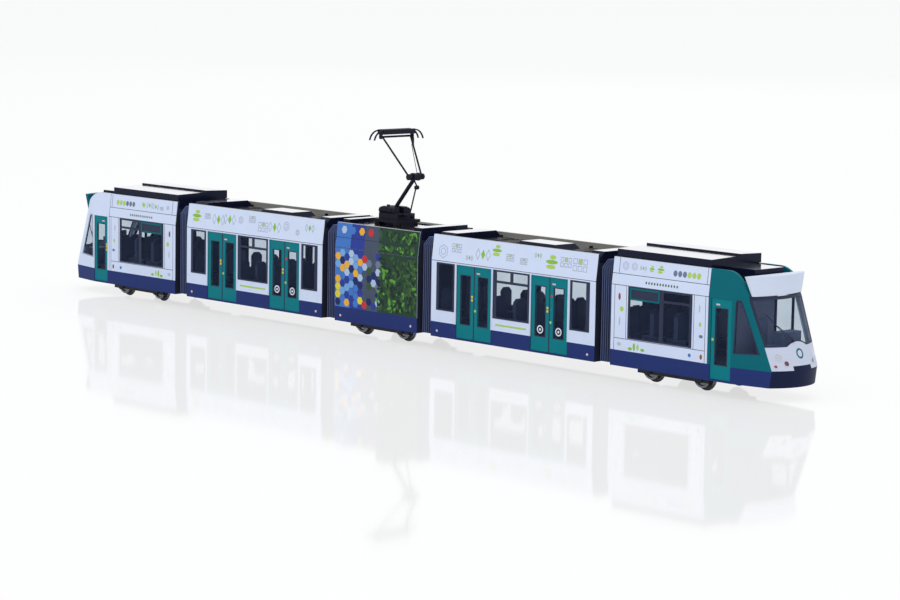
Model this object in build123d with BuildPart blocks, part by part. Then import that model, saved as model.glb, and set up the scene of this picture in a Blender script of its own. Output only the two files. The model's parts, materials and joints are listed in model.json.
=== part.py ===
"""Articulated low-floor tram in five sections, a 1:87 scale model with its own pieces.

Millimetres. +X runs to the front cab, +Z up, the door side lies at -Y.
X = 0 is the middle of the centre car and Z = 0 is the bottom of the wheel flanges.
"""
import os
from collections import namedtuple
from math import atan2, cos, sin

from build123d import *

# Lengths along the tram
CENTRE_LENGTH = 41.2
SALOON_LENGTH = 74.4
CAB_LENGTH = 66.4
GAP = 6.8
CENTRE_END = CENTRE_LENGTH / 2
SALOON_START = CENTRE_END + GAP
SALOON_END = SALOON_START + SALOON_LENGTH
CAB_START = SALOON_END + GAP
NOSE_TIP = CAB_START + CAB_LENGTH
INNER_PIVOT = CENTRE_END + GAP / 2
OUTER_PIVOT = SALOON_END + GAP / 2

# Body section
BODY_WIDTH = 26.4
SIDE_Y = BODY_WIDTH / 2
WALL = 1.0
PORTAL = 1.0
SKIRT_Z = 4.3
GUTTER_Z = 29.6
FASCIA_TOP = 38.1
FASCIA_LEAN = 1.0
DECK_TOP = 36.3
DECK_THICK = 1.0
DECK_UNDER = DECK_TOP - DECK_THICK
GANGWAY_HALF = SIDE_Y - 3.6
GANGWAY_TOP = 33.2

# Fits between pieces
FIT = 0.06
CLIP = 0.1
RUN = 0.05

# Saloon car's window and door layout, from its rear end
SILL_Z = 13.2
HEAD_Z = 29.1
DOOR_FOOT_Z = 4.9
PANE_THICK = 0.7
PANE_INSET = 0.12
LEAF_THICK = 0.8
LEAF_INSET = 0.2
END_POST = 2.4
DOOR_POST = 0.9
MIDDLE_POST = 0.7
DOORWAY = 16.3
SALOON_GLAZED = SALOON_LENGTH - 2 * (END_POST + DOOR_POST + DOORWAY + MIDDLE_POST)
END_WINDOW = 0.2544 * SALOON_GLAZED
DOOR_START = END_POST + END_WINDOW + DOOR_POST
MIDDLE_START = DOOR_START + DOORWAY + MIDDLE_POST
MIDDLE_END = SALOON_LENGTH - MIDDLE_START
FAR_END_WINDOW = 0.258 * SALOON_LENGTH
FAR_SPLIT = 2.0
Opening = namedtuple("Opening", "side start end low high")
Door = namedtuple("Door", "start end low high leaves glass_width glass_low glass_high")
NEAR = -1
FAR = 1
SALOON_WINDOWS = [
    Opening(NEAR, END_POST, END_POST + END_WINDOW, SILL_Z, HEAD_Z),
    Opening(NEAR, MIDDLE_START, MIDDLE_END, SILL_Z, HEAD_Z),
    Opening(NEAR, SALOON_LENGTH - END_POST - END_WINDOW, SALOON_LENGTH - END_POST, SILL_Z, HEAD_Z),
    Opening(FAR, END_POST, END_POST + FAR_END_WINDOW, SILL_Z, HEAD_Z),
    Opening(FAR, 2 * END_POST + FAR_END_WINDOW, (SALOON_LENGTH - FAR_SPLIT) / 2, SILL_Z, HEAD_Z),
    Opening(FAR, (SALOON_LENGTH + FAR_SPLIT) / 2, SALOON_LENGTH - 2 * END_POST - FAR_END_WINDOW,
            SILL_Z, HEAD_Z),
    Opening(FAR, SALOON_LENGTH - END_POST - FAR_END_WINDOW, SALOON_LENGTH - END_POST, SILL_Z, HEAD_Z),
]
SALOON_DOORS = [
    Door(DOOR_START, DOOR_START + DOORWAY, DOOR_FOOT_Z, HEAD_Z, 2, 4.9, 9.5, 26.0),
    Door(SALOON_LENGTH - DOOR_START - DOORWAY, SALOON_LENGTH - DOOR_START,
         DOOR_FOOT_Z, HEAD_Z, 2, 4.9, 9.5, 26.0),
]

# Cab car's layout, from its inner end
CAB_HEAD_Z = HEAD_Z + 0.4
CAB_DOOR_START = CAB_LENGTH - 25.6
CAB_DOOR_END = CAB_LENGTH - 17.5
FAR_START = 10.2
FAR_END = CAB_DOOR_START - 3.2
FAR_MIDDLE = (FAR_START + FAR_END) / 2
CAB_WINDOWS = [
    Opening(NEAR, 7.0, CAB_DOOR_START - 7.5, SILL_Z, CAB_HEAD_Z),
    Opening(FAR, FAR_START, FAR_MIDDLE - 1, SILL_Z, CAB_HEAD_Z),
    Opening(FAR, FAR_MIDDLE + 1, FAR_END, SILL_Z, CAB_HEAD_Z),
    Opening(FAR, CAB_DOOR_START - 1.2, CAB_DOOR_START + 2.0, SILL_Z, CAB_HEAD_Z),
]
CAB_DOORS = [
    Door(CAB_DOOR_START, CAB_DOOR_END, DOOR_FOOT_Z, HEAD_Z + 0.3, 1, 5.2, 9.2, 26.7),
]
Corner = namedtuple("Corner", "from_tip z")
QUARTER_LIGHTS = {
    NEAR: [Corner(16.7, 13.4), Corner(7.6, 13.9), Corner(13.9, 29.1), Corner(14.4, 29.6), Corner(15.7, 29.6),
           Corner(16.2, 29.1)],
    FAR: [Corner(22.4, 13.4), Corner(7.6, 13.9), Corner(13.9, 29.1), Corner(14.4, 29.6), Corner(22.4, 29.6)],
}

# Nose: height, foremost point and plan radius of each level
Level = namedtuple("Level", "z tip radius")
BUMPER_TOP = 9.5
NOSE_LEVELS = [
    Level(SKIRT_Z, NOSE_TIP - 0.5, SIDE_Y + 3.8),
    Level(BUMPER_TOP, NOSE_TIP, SIDE_Y + 4.3),
    Level(16.5, NOSE_TIP - 2.7, SIDE_Y + 5.8),
    Level(FASCIA_TOP, NOSE_TIP - 11.6, SIDE_Y + 11.8),
]
TAPER_START = NOSE_TIP - 17.5
TAPER_SLOPE = 0.18
FIN_FOOT = (NOSE_TIP - 11.7, 30.7)
FIN_BEND = (NOSE_TIP - 13.2, 33.6)
FIN_MIDDLE = (NOSE_TIP - 15.6, 36.6)
FIN_CREST = (NOSE_TIP - 20.2, FASCIA_TOP)
BROW_Z = 30.9
BROW_HALF = SIDE_Y - 2.2
SCREEN_LOW = 16.4
SCREEN_HIGH = 30.2
SCREEN_HALF_LOW = SIDE_Y - 2.5
SCREEN_HALF_HIGH = SIDE_Y - 1.4
SCREEN_ARCH_HALF = 4.4
SCREEN_ARCH_RISE = 1.3

# Destination box over the windscreen
BOX_LOW = 31.0
BOX_HIGH = 36.9
BOX_NOSE_RADIUS = SIDE_Y + 16.8
BoxLevel = namedtuple("BoxLevel", "z tip back half")
BOX_LEVELS = [
    BoxLevel(BOX_LOW, NOSE_TIP - 8.9, NOSE_TIP - 11.45, SIDE_Y - 1.9),
    BoxLevel(BOX_HIGH, NOSE_TIP - 8.6, NOSE_TIP - 13.1, SIDE_Y - 0.3),
]

# Lamps in the nose: distance from the middle, height, radius
Lamp = namedtuple("Lamp", "y z radius")
LAMPS = [
    Lamp(SIDE_Y - 7.2, 11.6, 0.75),
    Lamp(SIDE_Y - 5.3, 13.5, 1.05),
    Lamp(SIDE_Y - 3.8, 10.8, 0.45),
]
LAMP_PROUD = 0.15

# Wheelsets and bogies
FLANGE_DEPTH = 0.9
TREAD_RADIUS = 3.45
FLANGE_RADIUS = TREAD_RADIUS + FLANGE_DEPTH
AXLE_Z = FLANGE_RADIUS
AXLE_RADIUS = 0.8
BACK_TO_BACK = BODY_WIDTH - 12.0
FLANGE_THICK = 0.8
WHEEL_WIDTH = 2.4
WHEELBASE = 20.7
CAB_BOGIE_X = CAB_START + 24.4
FRAME_INNER = SIDE_Y - 3.2
FRAME_THICK = 1.2
FRAME_LOW = 2.9
FRAME_OVERHANG = 4.2
AXLE_HALF = FRAME_INNER + FRAME_THICK - 0.2

# Chassis plates, pivots and bellows
BOGIE_PLATE_LOW = 9.2
BOGIE_PLATE_TOP = 10.2
NOSE_PLATE_LOW = 4.9
NOSE_PLATE_TOP = 5.9
TONGUE_LOW = 5.0
TONGUE_TOP = 6.2
FLOOR_LOW = 6.3
FLOOR_TOP = 7.5
TONGUE_HALF = 3.0
PIN_RADIUS = 1.2
PIN_TOP = 9.0
DROP_THICK = 1.2
BELLOWS_LENGTH = 4.5
BELLOWS_HALF = SIDE_Y - 1.2
BELLOWS_LOW = 4.7
BELLOWS_TOP = 36.6
BELLOWS_CORNER = 2.4
BELLOWS_INNER_HALF = SIDE_Y - 3.4
BELLOWS_INNER_TOP = 34.0
BELLOWS_FLOOR_LOW = 7.6
BELLOWS_FLOOR_TOP = 8.4
PLEATS = 5
PLEAT_DEPTH = 0.6

# Seats: place along the car as a share of its length, place across, way they face
SEAT_WIDTH = 4.4
SEAT_DEPTH = 4.2
SEAT_RISE = 4.6
SEAT_BACK_RISE = 12.6
SEAT_BACK_THICK = 0.9
SEAT_BASE_THICK = 0.5
SEAT_ROUND = 1.2
SEAT_BASE_HALF = SIDE_Y - WALL - 1.2
WINDOW_SEAT_Y = SIDE_Y - 3.8
AISLE_SEAT_Y = SIDE_Y - 8.6
Seat = namedtuple("Seat", "share y facing")
SALOON_SEATS = [
    Seat(share, y, facing)
    for share, facing in ((0.067, 1), (0.397, 1), (0.476, -1), (0.527, 1), (0.603, -1), (0.933, -1))
    for y in (-WINDOW_SEAT_Y, AISLE_SEAT_Y, WINDOW_SEAT_Y)
] + [Seat(share, WINDOW_SEAT_Y, facing)
     for share, facing in ((0.188, 1), (0.269, -1), (0.731, 1), (0.812, -1))]
CAB_SEATS = [
    Seat(share, y, facing)
    for share, facing in ((0.114, 1), (0.205, -1), (0.265, 1), (0.352, -1), (0.413, 1), (0.5, -1))
    for y in (-WINDOW_SEAT_Y, -AISLE_SEAT_Y, AISLE_SEAT_Y, WINDOW_SEAT_Y)
]

# Cab fittings, from the nose tip
PARTITION_X = NOSE_TIP - 19.5
PARTITION_THICK = 0.6
PARTITION_NEAR = 1.95 - SIDE_Y
PARTITION_FAR = SIDE_Y - 4.6
PARTITION_TOP = 35.0
DRIVER_X = NOSE_TIP - 14.9
DESK_BACK = NOSE_TIP - 11.9
DESK_FRONT = NOSE_TIP - 6.9
DESK_TOP = 16.0
DESK_HALF = SIDE_Y - 5.2
CONSOLE_TOP = 19.8
CONSOLE_LEFT = -1.5
CONSOLE_RIGHT = 7.2
CAB_FLOOR_HALF = SIDE_Y - 3.8

# Roof units
POD_HALF = SIDE_Y - 1.7
POD_FOOT_HALF = SIDE_Y - 2.7
POD_FOOT_TOP = FASCIA_TOP + 0.2
POD_NEAR_TOP = 40.55
POD_STEP_LOW = 40.95
POD_STEP_TOP = 41.5
POD_STEP_Y = 1.7
POD_FAR_TOP = 41.2
POD_START = CAB_START + 0.6
POD_END = NOSE_TIP - 27.4
CAB_DECK_END = NOSE_TIP - 18.8
FRONT_BOX_END = NOSE_TIP - 14.4
FRONT_BOX_HALF = SIDE_Y - 6.6
FRONT_BOX_TOP = 38.4
CAB_LID_HALF = SIDE_Y - 2.8
END_UNIT_TOP = 38.7
END_UNIT_HALF = SIDE_Y - 2.6
END_UNIT_BEVEL = 1.6
MIDDLE_UNIT_TOP = 38.2
MIDDLE_UNIT_BEVEL = 1.4
MIDDLE_UNIT_PLACE = 0.541 * SALOON_LENGTH
MIDDLE_UNIT_LENGTH = 18.5
MIDDLE_UNIT_HALF = SIDE_Y - 7.4
LEFT_UNIT = (0.4, 7.6)
RIGHT_UNIT = (SALOON_LENGTH - 5.4, SALOON_LENGTH - 0.4)
CENTRE_ROOF_TOP = 38.0
CENTRE_ROOF_HALF = SIDE_Y - 2.8
CENTRE_LEFT_BOX = (0.8 - CENTRE_END, 4.2 - CENTRE_END)
CENTRE_RIGHT_BOX = (CENTRE_END - 5.4, CENTRE_END - 0.8)
CENTRE_BOX_TOP = 39.2

# Pantograph: pivot points (X, Z) in the raised position
ARM_FOOT = (-5.4, 43.0)
KNEE = (4.8, 54.8)
HEAD_PIVOT = (-4.9, 67.9)
ROD_FOOT = (4.26, 41.6)
TAIL_LENGTH = 4.2
ARM_TUBE = 0.68
ARM_SHOE = 1.0
UPPER_TUBE = 0.32
PIVOT_PIN = 0.4
EYE_RADIUS = 1.25
EYE_HALF = 0.75
HOUSING_RADIUS = 1.35
HOUSING_NECK = 0.75
HOUSING_CAP = 1.05
NECK_START = 1.6
NECK_END = 2.4
KNEE_HALF = 3.4
KNEE_SPREAD = 2.9
TAIL_Y = -1.32
TAIL_THICK = 0.5
ROD_Y = -2.0
ROD_THICK = 0.5
ROD_EYE = 0.7
HEAD_TUBE = 0.36
HEAD_TUBE_HALF = 7.5
UPPER_SPREAD = 6.5
BASE_LOW = 38.9
BASE_TOP = 39.9
BASE_START = -10.6
BASE_END = 1.8
BASE_HALF = 5.4
BLOCK_START = -8.9
BLOCK_END = 0.5
BLOCK_HALF = 4.0
BLOCK_TOP = 41.9
CHEEK_INNER = 1.05
CHEEK_OUTER = 2.2
CHEEK_TOP = 44.0
CAN_RADIUS = 1.05
CAN_Y = 3.0
INSULATOR_RADIUS = 0.9
STRIP_SPACING = 2.4
STRIP_WIDTH = 0.9
STRIP_THICK = 0.7
STRIP_LOW = 69.6
STRIP_HALF = 7.3
TRAY_LOW = 68.75
HANGER_Y = 7.2
HANGER_THICK = 0.45
HORN_REACH = 11.4
HORN_DROP = 2.7
HORN_THICK = 0.42


def half_width(z, inset):
    """Half-width of the body at a height: upright to the gutter, then leaning in."""
    lean = FASCIA_LEAN * max(0.0, z - GUTTER_Z) / (FASCIA_TOP - GUTTER_Z)
    return SIDE_Y - inset - lean


def section_points(inset, low, high):
    """Body section between two heights as (Y, Z) corners."""
    heights = [low] + ([GUTTER_Z] if low < GUTTER_Z < high else []) + [high]
    right = [(half_width(z, inset), z) for z in heights]
    left = [(-y, z) for y, z in reversed(right)]
    return right + left


def wall_plane(side, inner):
    """Upright plane in a side wall; an extrusion from it runs toward -Y."""
    return Plane.XZ.offset(inner if side == NEAR else -inner)


def leaf_spans(door):
    """Start and end of each leaf of a door, with a fit at the jambs and between leaves."""
    width = (door.end - door.start - (door.leaves + 1) * FIT) / door.leaves
    starts = [door.start + FIT + n * (width + FIT) for n in range(door.leaves)]
    return [(start, start + width) for start in starts]


def open_walls(part, windows, doors, origin):
    """Side walls with their window and door openings cut through."""
    with BuildPart() as walls:
        add(part)
        for side in (NEAR, FAR):
            near_doors = [Opening(NEAR, d.start, d.end, d.low, d.high) for d in doors]
            cuts = [o for o in windows + near_doors if o.side == side]
            outer = SIDE_Y + 0.5
            inner = SIDE_Y - WALL - 0.5
            with BuildSketch(wall_plane(side, inner if side == NEAR else outer)):
                for cut in cuts:
                    middle = (origin + (cut.start + cut.end) / 2, (cut.low + cut.high) / 2)
                    with Locations(middle):
                        Rectangle(cut.end - cut.start, cut.high - cut.low)
            extrude(amount=outer - inner, mode=Mode.SUBTRACT)
    return walls.part


def hollow_body(start, length):
    """Straight car body: two side walls, an open roof and a portal at both ends."""
    with BuildPart() as body:
        with BuildSketch(Plane.YZ.offset(start)):
            Polygon(*section_points(0, SKIRT_Z, FASCIA_TOP), align=None)
        extrude(amount=length)
        with BuildSketch(Plane.YZ.offset(start + PORTAL)):
            Polygon(*section_points(WALL, SKIRT_Z - 1, FASCIA_TOP + 1), align=None)
        extrude(amount=length - 2 * PORTAL, mode=Mode.SUBTRACT)
        with BuildSketch(Plane.YZ.offset(start)):
            Polygon(*section_points(WALL, DECK_UNDER, FASCIA_TOP + 1), align=None)
            with Locations((0, (SKIRT_Z - 1 + GANGWAY_TOP) / 2)):
                Rectangle(2 * GANGWAY_HALF, GANGWAY_TOP - SKIRT_Z + 1)
        extrude(amount=length, mode=Mode.SUBTRACT)
    return body.part


def panes(windows, doors, origin):
    """Window panes and door glasses, one loose solid in each opening."""
    with BuildPart() as glass:
        for side in (NEAR, FAR):
            outer = SIDE_Y - PANE_INSET
            inner = outer - PANE_THICK
            with BuildSketch(wall_plane(side, inner if side == NEAR else outer)):
                for pane in [w for w in windows if w.side == side]:
                    middle = (origin + (pane.start + pane.end) / 2, (pane.low + pane.high) / 2)
                    with Locations(middle):
                        Rectangle(pane.end - pane.start - 2 * FIT, pane.high - pane.low - 2 * FIT)
            extrude(amount=outer - inner)
        outer = SIDE_Y - LEAF_INSET - PANE_INSET
        inner = SIDE_Y - LEAF_INSET - LEAF_THICK
        with BuildSketch(wall_plane(NEAR, inner)):
            for door in doors:
                for start, end in leaf_spans(door):
                    middle = (origin + (start + end) / 2, (door.glass_low + door.glass_high) / 2)
                    with Locations(middle):
                        Rectangle(door.glass_width - 2 * FIT, door.glass_high - door.glass_low - 2 * FIT)
        extrude(amount=outer - inner)
    return glass.part


def door_leaves(doors, origin):
    """Door leaves with their tall windows cut, loose in the doorways."""
    with BuildPart() as leaves:
        inner = SIDE_Y - LEAF_INSET - LEAF_THICK
        with BuildSketch(wall_plane(NEAR, inner)):
            for door in doors:
                for start, end in leaf_spans(door):
                    with Locations((origin + (start + end) / 2, (door.low + door.high) / 2)):
                        Rectangle(end - start, door.high - door.low - 2 * FIT)
                    middle = (origin + (start + end) / 2, (door.glass_low + door.glass_high) / 2)
                    with Locations(middle):
                        Rectangle(door.glass_width, door.glass_high - door.glass_low, mode=Mode.SUBTRACT)
        extrude(amount=LEAF_THICK)
    return leaves.part


def seat_rows(seats, origin, length, floor):
    """Seat insert: a thin base with cushions, stands and rounded backs moulded on."""
    xs = [length * seat.share for seat in seats]
    with BuildPart() as insert:
        base_start = origin + min(xs) - SEAT_DEPTH / 2 - 1
        base_end = origin + max(xs) + SEAT_DEPTH / 2 + 1
        with Locations(((base_start + base_end) / 2, 0, floor + SEAT_BASE_THICK / 2)):
            Box(base_end - base_start, 2 * SEAT_BASE_HALF, SEAT_BASE_THICK)
        for seat in seats:
            x = origin + length * seat.share
            with Locations((x, seat.y, floor + SEAT_RISE - 0.6)):
                Box(SEAT_DEPTH, SEAT_WIDTH, 1.2)
            with Locations((x, seat.y, floor + SEAT_RISE / 2)):
                Box(1.6, 1.6, SEAT_RISE)
            back = x - seat.facing * (SEAT_DEPTH - SEAT_BACK_THICK) / 2
            with BuildSketch(Plane.YZ.offset(back - SEAT_BACK_THICK / 2)):
                with Locations((seat.y, floor + (SEAT_RISE + SEAT_BACK_RISE) / 2 - 0.4)):
                    outline = Rectangle(SEAT_WIDTH, SEAT_BACK_RISE - SEAT_RISE + 0.8)
                chamfer(outline.vertices().group_by(Axis.Y)[-1], SEAT_ROUND)
            extrude(amount=SEAT_BACK_THICK)
    return insert.part


def cab_form(inset, low, high):
    """Solid form of the front cab car, drawn in by a wall thickness."""
    back = CAB_START - 5
    reach = SIDE_Y + 0.6
    with BuildPart() as form:
        levels = list(NOSE_LEVELS)
        levels[0] = Level(low, levels[0].tip, levels[0].radius)
        levels[-1] = Level(high, levels[-1].tip, levels[-1].radius)
        for level in levels:
            radius = level.radius - inset
            tip = level.tip - inset
            side = tip - radius + (radius ** 2 - reach ** 2) ** 0.5
            with BuildSketch(Plane.XY.offset(level.z)):
                with BuildLine():
                    Polyline((side, reach), (back, reach), (back, -reach), (side, -reach))
                    ThreePointArc((side, -reach), (tip, 0), (side, reach))
                make_face()
        loft(ruled=True)
        with BuildSketch(Plane.XZ.offset(-20)):
            with BuildLine():
                Polyline(FIN_CREST, (back, FASCIA_TOP), (back, low - 1), (NOSE_TIP + 1, low - 1),
                         (NOSE_TIP + 1, FIN_FOOT[1]), FIN_FOOT, FIN_BEND)
                ThreePointArc(FIN_BEND, FIN_MIDDLE, FIN_CREST)
            make_face()
        if inset == 0:
            extrude(amount=40, mode=Mode.INTERSECT)
    with BuildPart() as body:
        with BuildSketch(Plane.YZ.offset(CAB_START)):
            Polygon(*section_points(inset, low, high), align=None)
        extrude(amount=NOSE_TIP + 2 - CAB_START)
        with BuildSketch(Plane.XY.offset(low - 1)):
            end = NOSE_TIP + 2
            taper = SIDE_Y - inset - TAPER_SLOPE * (end - TAPER_START)
            straight = SIDE_Y - inset
            Polygon((back, -straight), (TAPER_START, -straight), (end, -taper), (end, taper),
                    (TAPER_START, straight), (back, straight), align=None)
        extrude(amount=high - low + 2, mode=Mode.INTERSECT)
        add(form.part, mode=Mode.INTERSECT)
    return body.part


def screen_outline(margin):
    """Windscreen outline on the YZ plane, with the arch of the nose panel at its foot."""
    low = SCREEN_LOW + margin
    high = SCREEN_HIGH - margin
    with BuildSketch(Plane.YZ.offset(TAPER_START)) as outline:
        with BuildLine():
            Polyline((-SCREEN_ARCH_HALF, low), (margin - SCREEN_HALF_LOW, low),
                     (margin - SCREEN_HALF_HIGH, high), (SCREEN_HALF_HIGH - margin, high),
                     (SCREEN_HALF_LOW - margin, low), (SCREEN_ARCH_HALF, low))
            ThreePointArc((SCREEN_ARCH_HALF, low), (0, low + SCREEN_ARCH_RISE), (-SCREEN_ARCH_HALF, low))
        make_face()
    return outline.sketch


def lamp_plugs(margin):
    """Round bars along X through the nose at the lamps' places."""
    with BuildPart() as plugs:
        with BuildSketch(Plane.YZ.offset(TAPER_START + 4)):
            for lamp in LAMPS:
                with Locations((lamp.y, lamp.z), (-lamp.y, lamp.z)):
                    Circle(lamp.radius - margin)
        extrude(amount=20)
    return plugs.part


# Front cab car
outer_form = cab_form(0, SKIRT_Z, FASCIA_TOP)
inner_form = cab_form(WALL, SKIRT_Z - 1, FASCIA_TOP + 1)

with BuildPart() as cab_cavity:
    add(inner_form)
    with Locations((CAB_START + PORTAL - 10, 0, 20)):
        Box(20, 60, 60, mode=Mode.SUBTRACT)

with BuildPart() as cab_body:
    add(outer_form)
    add(cab_cavity.part, mode=Mode.SUBTRACT)
    with BuildSketch(Plane.YZ.offset(CAB_START)):
        Polygon(*section_points(WALL, DECK_UNDER, FASCIA_TOP + 1), align=None)
        with Locations((0, (SKIRT_Z - 1 + GANGWAY_TOP) / 2)):
            Rectangle(2 * GANGWAY_HALF, GANGWAY_TOP - SKIRT_Z + 1)
    extrude(amount=PORTAL + 1, mode=Mode.SUBTRACT)
    with Locations((NOSE_TIP - 10, 0, BROW_Z + 10)):
        Box(40, 2 * BROW_HALF, 20, mode=Mode.SUBTRACT)
    add(screen_outline(0))
    extrude(amount=30, dir=(1, 0, 0), mode=Mode.SUBTRACT)
    add(lamp_plugs(0), mode=Mode.SUBTRACT)
    for side in (NEAR, FAR):
        with BuildSketch(wall_plane(side, SIDE_Y - 3 if side == NEAR else SIDE_Y + 1)):
            Polygon(*[(NOSE_TIP - c.from_tip, c.z) for c in QUARTER_LIGHTS[side]], align=None)
        extrude(amount=4, mode=Mode.SUBTRACT)

with BuildPart() as cab_front_shell:
    add(open_walls(cab_body.part, CAB_WINDOWS, CAB_DOORS, CAB_START))

screen_outer = cab_form(PANE_INSET, SKIRT_Z, FASCIA_TOP)
screen_skin = screen_outer - cab_form(PANE_INSET + PANE_THICK, SKIRT_Z - 1, FASCIA_TOP + 1)

with BuildPart() as windscreen:
    add(screen_outline(FIT))
    extrude(amount=30, dir=(1, 0, 0))
    add(screen_skin, mode=Mode.INTERSECT)

with BuildPart() as quarter_lights:
    for side in (NEAR, FAR):
        with BuildSketch(wall_plane(side, SIDE_Y - 3 if side == NEAR else SIDE_Y + 1)):
            Polygon(*[(NOSE_TIP - c.from_tip, c.z) for c in QUARTER_LIGHTS[side]], align=None)
            offset(amount=-FIT, kind=Kind.INTERSECTION, mode=Mode.REPLACE)
        extrude(amount=4)
    add(screen_skin, mode=Mode.INTERSECT)

with BuildPart() as cab_front_glazing:
    add(panes(CAB_WINDOWS, CAB_DOORS, CAB_START))
    add(quarter_lights.part)
    add(windscreen.part)

with BuildPart() as cab_front_door:
    add(door_leaves(CAB_DOORS, CAB_START))

lamp_skin = cab_form(-LAMP_PROUD, SKIRT_Z, FASCIA_TOP) - inner_form

with BuildPart() as cab_front_lamps:
    add(lamp_plugs(RUN))
    add(lamp_skin, mode=Mode.INTERSECT)

with BuildPart() as cab_front_destination_box:
    for level in BOX_LEVELS:
        half = level.half
        side = level.tip - BOX_NOSE_RADIUS + (BOX_NOSE_RADIUS ** 2 - half ** 2) ** 0.5
        with BuildSketch(Plane.XY.offset(level.z)):
            with BuildLine():
                Polyline((side, half), (level.back, half), (level.back, -half), (side, -half))
                ThreePointArc((side, -half), (level.tip, 0), (side, half))
            make_face()
    loft(ruled=True)

with BuildPart() as cab_front_seats:
    add(seat_rows(CAB_SEATS, CAB_START, CAB_LENGTH, BOGIE_PLATE_TOP))


def cab_desk(partition):
    """Cab insert: base, driver's seat, desk with its console and, where asked, the wall behind the driver."""
    middle = (DESK_BACK + DESK_FRONT) / 2
    base_start = PARTITION_X - PARTITION_THICK / 2
    with BuildPart() as desk:
        with Locations(((base_start + DESK_FRONT) / 2, 0, BOGIE_PLATE_TOP + SEAT_BASE_THICK / 2)):
            Box(DESK_FRONT - base_start, DESK_HALF, SEAT_BASE_THICK)
        with Locations((middle, 0, (BOGIE_PLATE_TOP + DESK_TOP) / 2)):
            Box(DESK_FRONT - DESK_BACK, 2 * DESK_HALF, DESK_TOP - BOGIE_PLATE_TOP)
        with Locations((middle, (CONSOLE_LEFT + CONSOLE_RIGHT) / 2, (DESK_TOP + CONSOLE_TOP) / 2)):
            Box(DESK_FRONT - DESK_BACK - 1, CONSOLE_RIGHT - CONSOLE_LEFT, CONSOLE_TOP - DESK_TOP)
        with Locations((DRIVER_X, 0, BOGIE_PLATE_TOP + SEAT_RISE / 2)):
            Box(3.6, SEAT_WIDTH, SEAT_RISE)
        with Locations((DRIVER_X - 1.8, 0, BOGIE_PLATE_TOP + SEAT_BACK_RISE / 2)):
            Box(SEAT_BACK_THICK, SEAT_WIDTH, SEAT_BACK_RISE)
        if partition:
            across = (PARTITION_NEAR + PARTITION_FAR) / 2
            with Locations((PARTITION_X, across, (BOGIE_PLATE_TOP + PARTITION_TOP) / 2)):
                Box(PARTITION_THICK, PARTITION_FAR - PARTITION_NEAR, PARTITION_TOP - BOGIE_PLATE_TOP)
    return desk.part


with BuildPart() as cab_front_desk:
    add(cab_desk(True))

with BuildPart() as plain_desk:
    add(cab_desk(False))

closing_form = cab_form(WALL + CLIP, SKIRT_Z - 1, FASCIA_TOP + 1)

with BuildPart() as nose_plate:
    add(closing_form)
    with Locations(((TAPER_START + NOSE_TIP) / 2, 0, (NOSE_PLATE_LOW + NOSE_PLATE_TOP) / 2)):
        Box(NOSE_TIP - TAPER_START, BODY_WIDTH, NOSE_PLATE_TOP - NOSE_PLATE_LOW, mode=Mode.INTERSECT)

with BuildPart() as cab_floor:
    with Locations(((TAPER_START + DESK_FRONT) / 2, 0, (BOGIE_PLATE_LOW + BOGIE_PLATE_TOP) / 2)):
        Box(DESK_FRONT - TAPER_START + 1, 2 * CAB_FLOOR_HALF, BOGIE_PLATE_TOP - BOGIE_PLATE_LOW)
    with Locations((TAPER_START + DROP_THICK / 2, 0, (NOSE_PLATE_LOW + BOGIE_PLATE_TOP) / 2)):
        Box(DROP_THICK, 2 * CAB_FLOOR_HALF, BOGIE_PLATE_TOP - NOSE_PLATE_LOW)
    add(nose_plate.part)

with BuildPart() as cab_front_roof:
    deck_half = half_width(DECK_TOP, WALL) - CLIP
    with Locations(((CAB_START + CAB_DECK_END) / 2, 0, DECK_TOP - DECK_THICK / 2)):
        Box(CAB_DECK_END - CAB_START, 2 * deck_half, DECK_THICK)
    with Locations(((CAB_DECK_END + FRONT_BOX_END) / 2, 0, DECK_TOP - DECK_THICK / 2)):
        Box(FRONT_BOX_END - CAB_DECK_END, 2 * CAB_LID_HALF, DECK_THICK)
    with BuildSketch(Plane.YZ.offset(POD_START)):
        Polygon((-POD_FOOT_HALF, DECK_TOP), (POD_FOOT_HALF, DECK_TOP), (POD_FOOT_HALF, POD_FOOT_TOP),
                (POD_HALF, POD_FOOT_TOP), (POD_HALF, POD_FAR_TOP), (POD_STEP_Y, POD_STEP_TOP),
                (POD_STEP_Y, POD_STEP_LOW), (-POD_HALF, POD_NEAR_TOP), (-POD_HALF, POD_FOOT_TOP),
                (-POD_FOOT_HALF, POD_FOOT_TOP), align=None)
    extrude(amount=POD_END - POD_START)
    with Locations(((POD_END + FRONT_BOX_END) / 2, 0, (DECK_TOP + FRONT_BOX_TOP) / 2)):
        Box(FRONT_BOX_END - POD_END, 2 * FRONT_BOX_HALF, FRONT_BOX_TOP - DECK_TOP)


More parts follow.
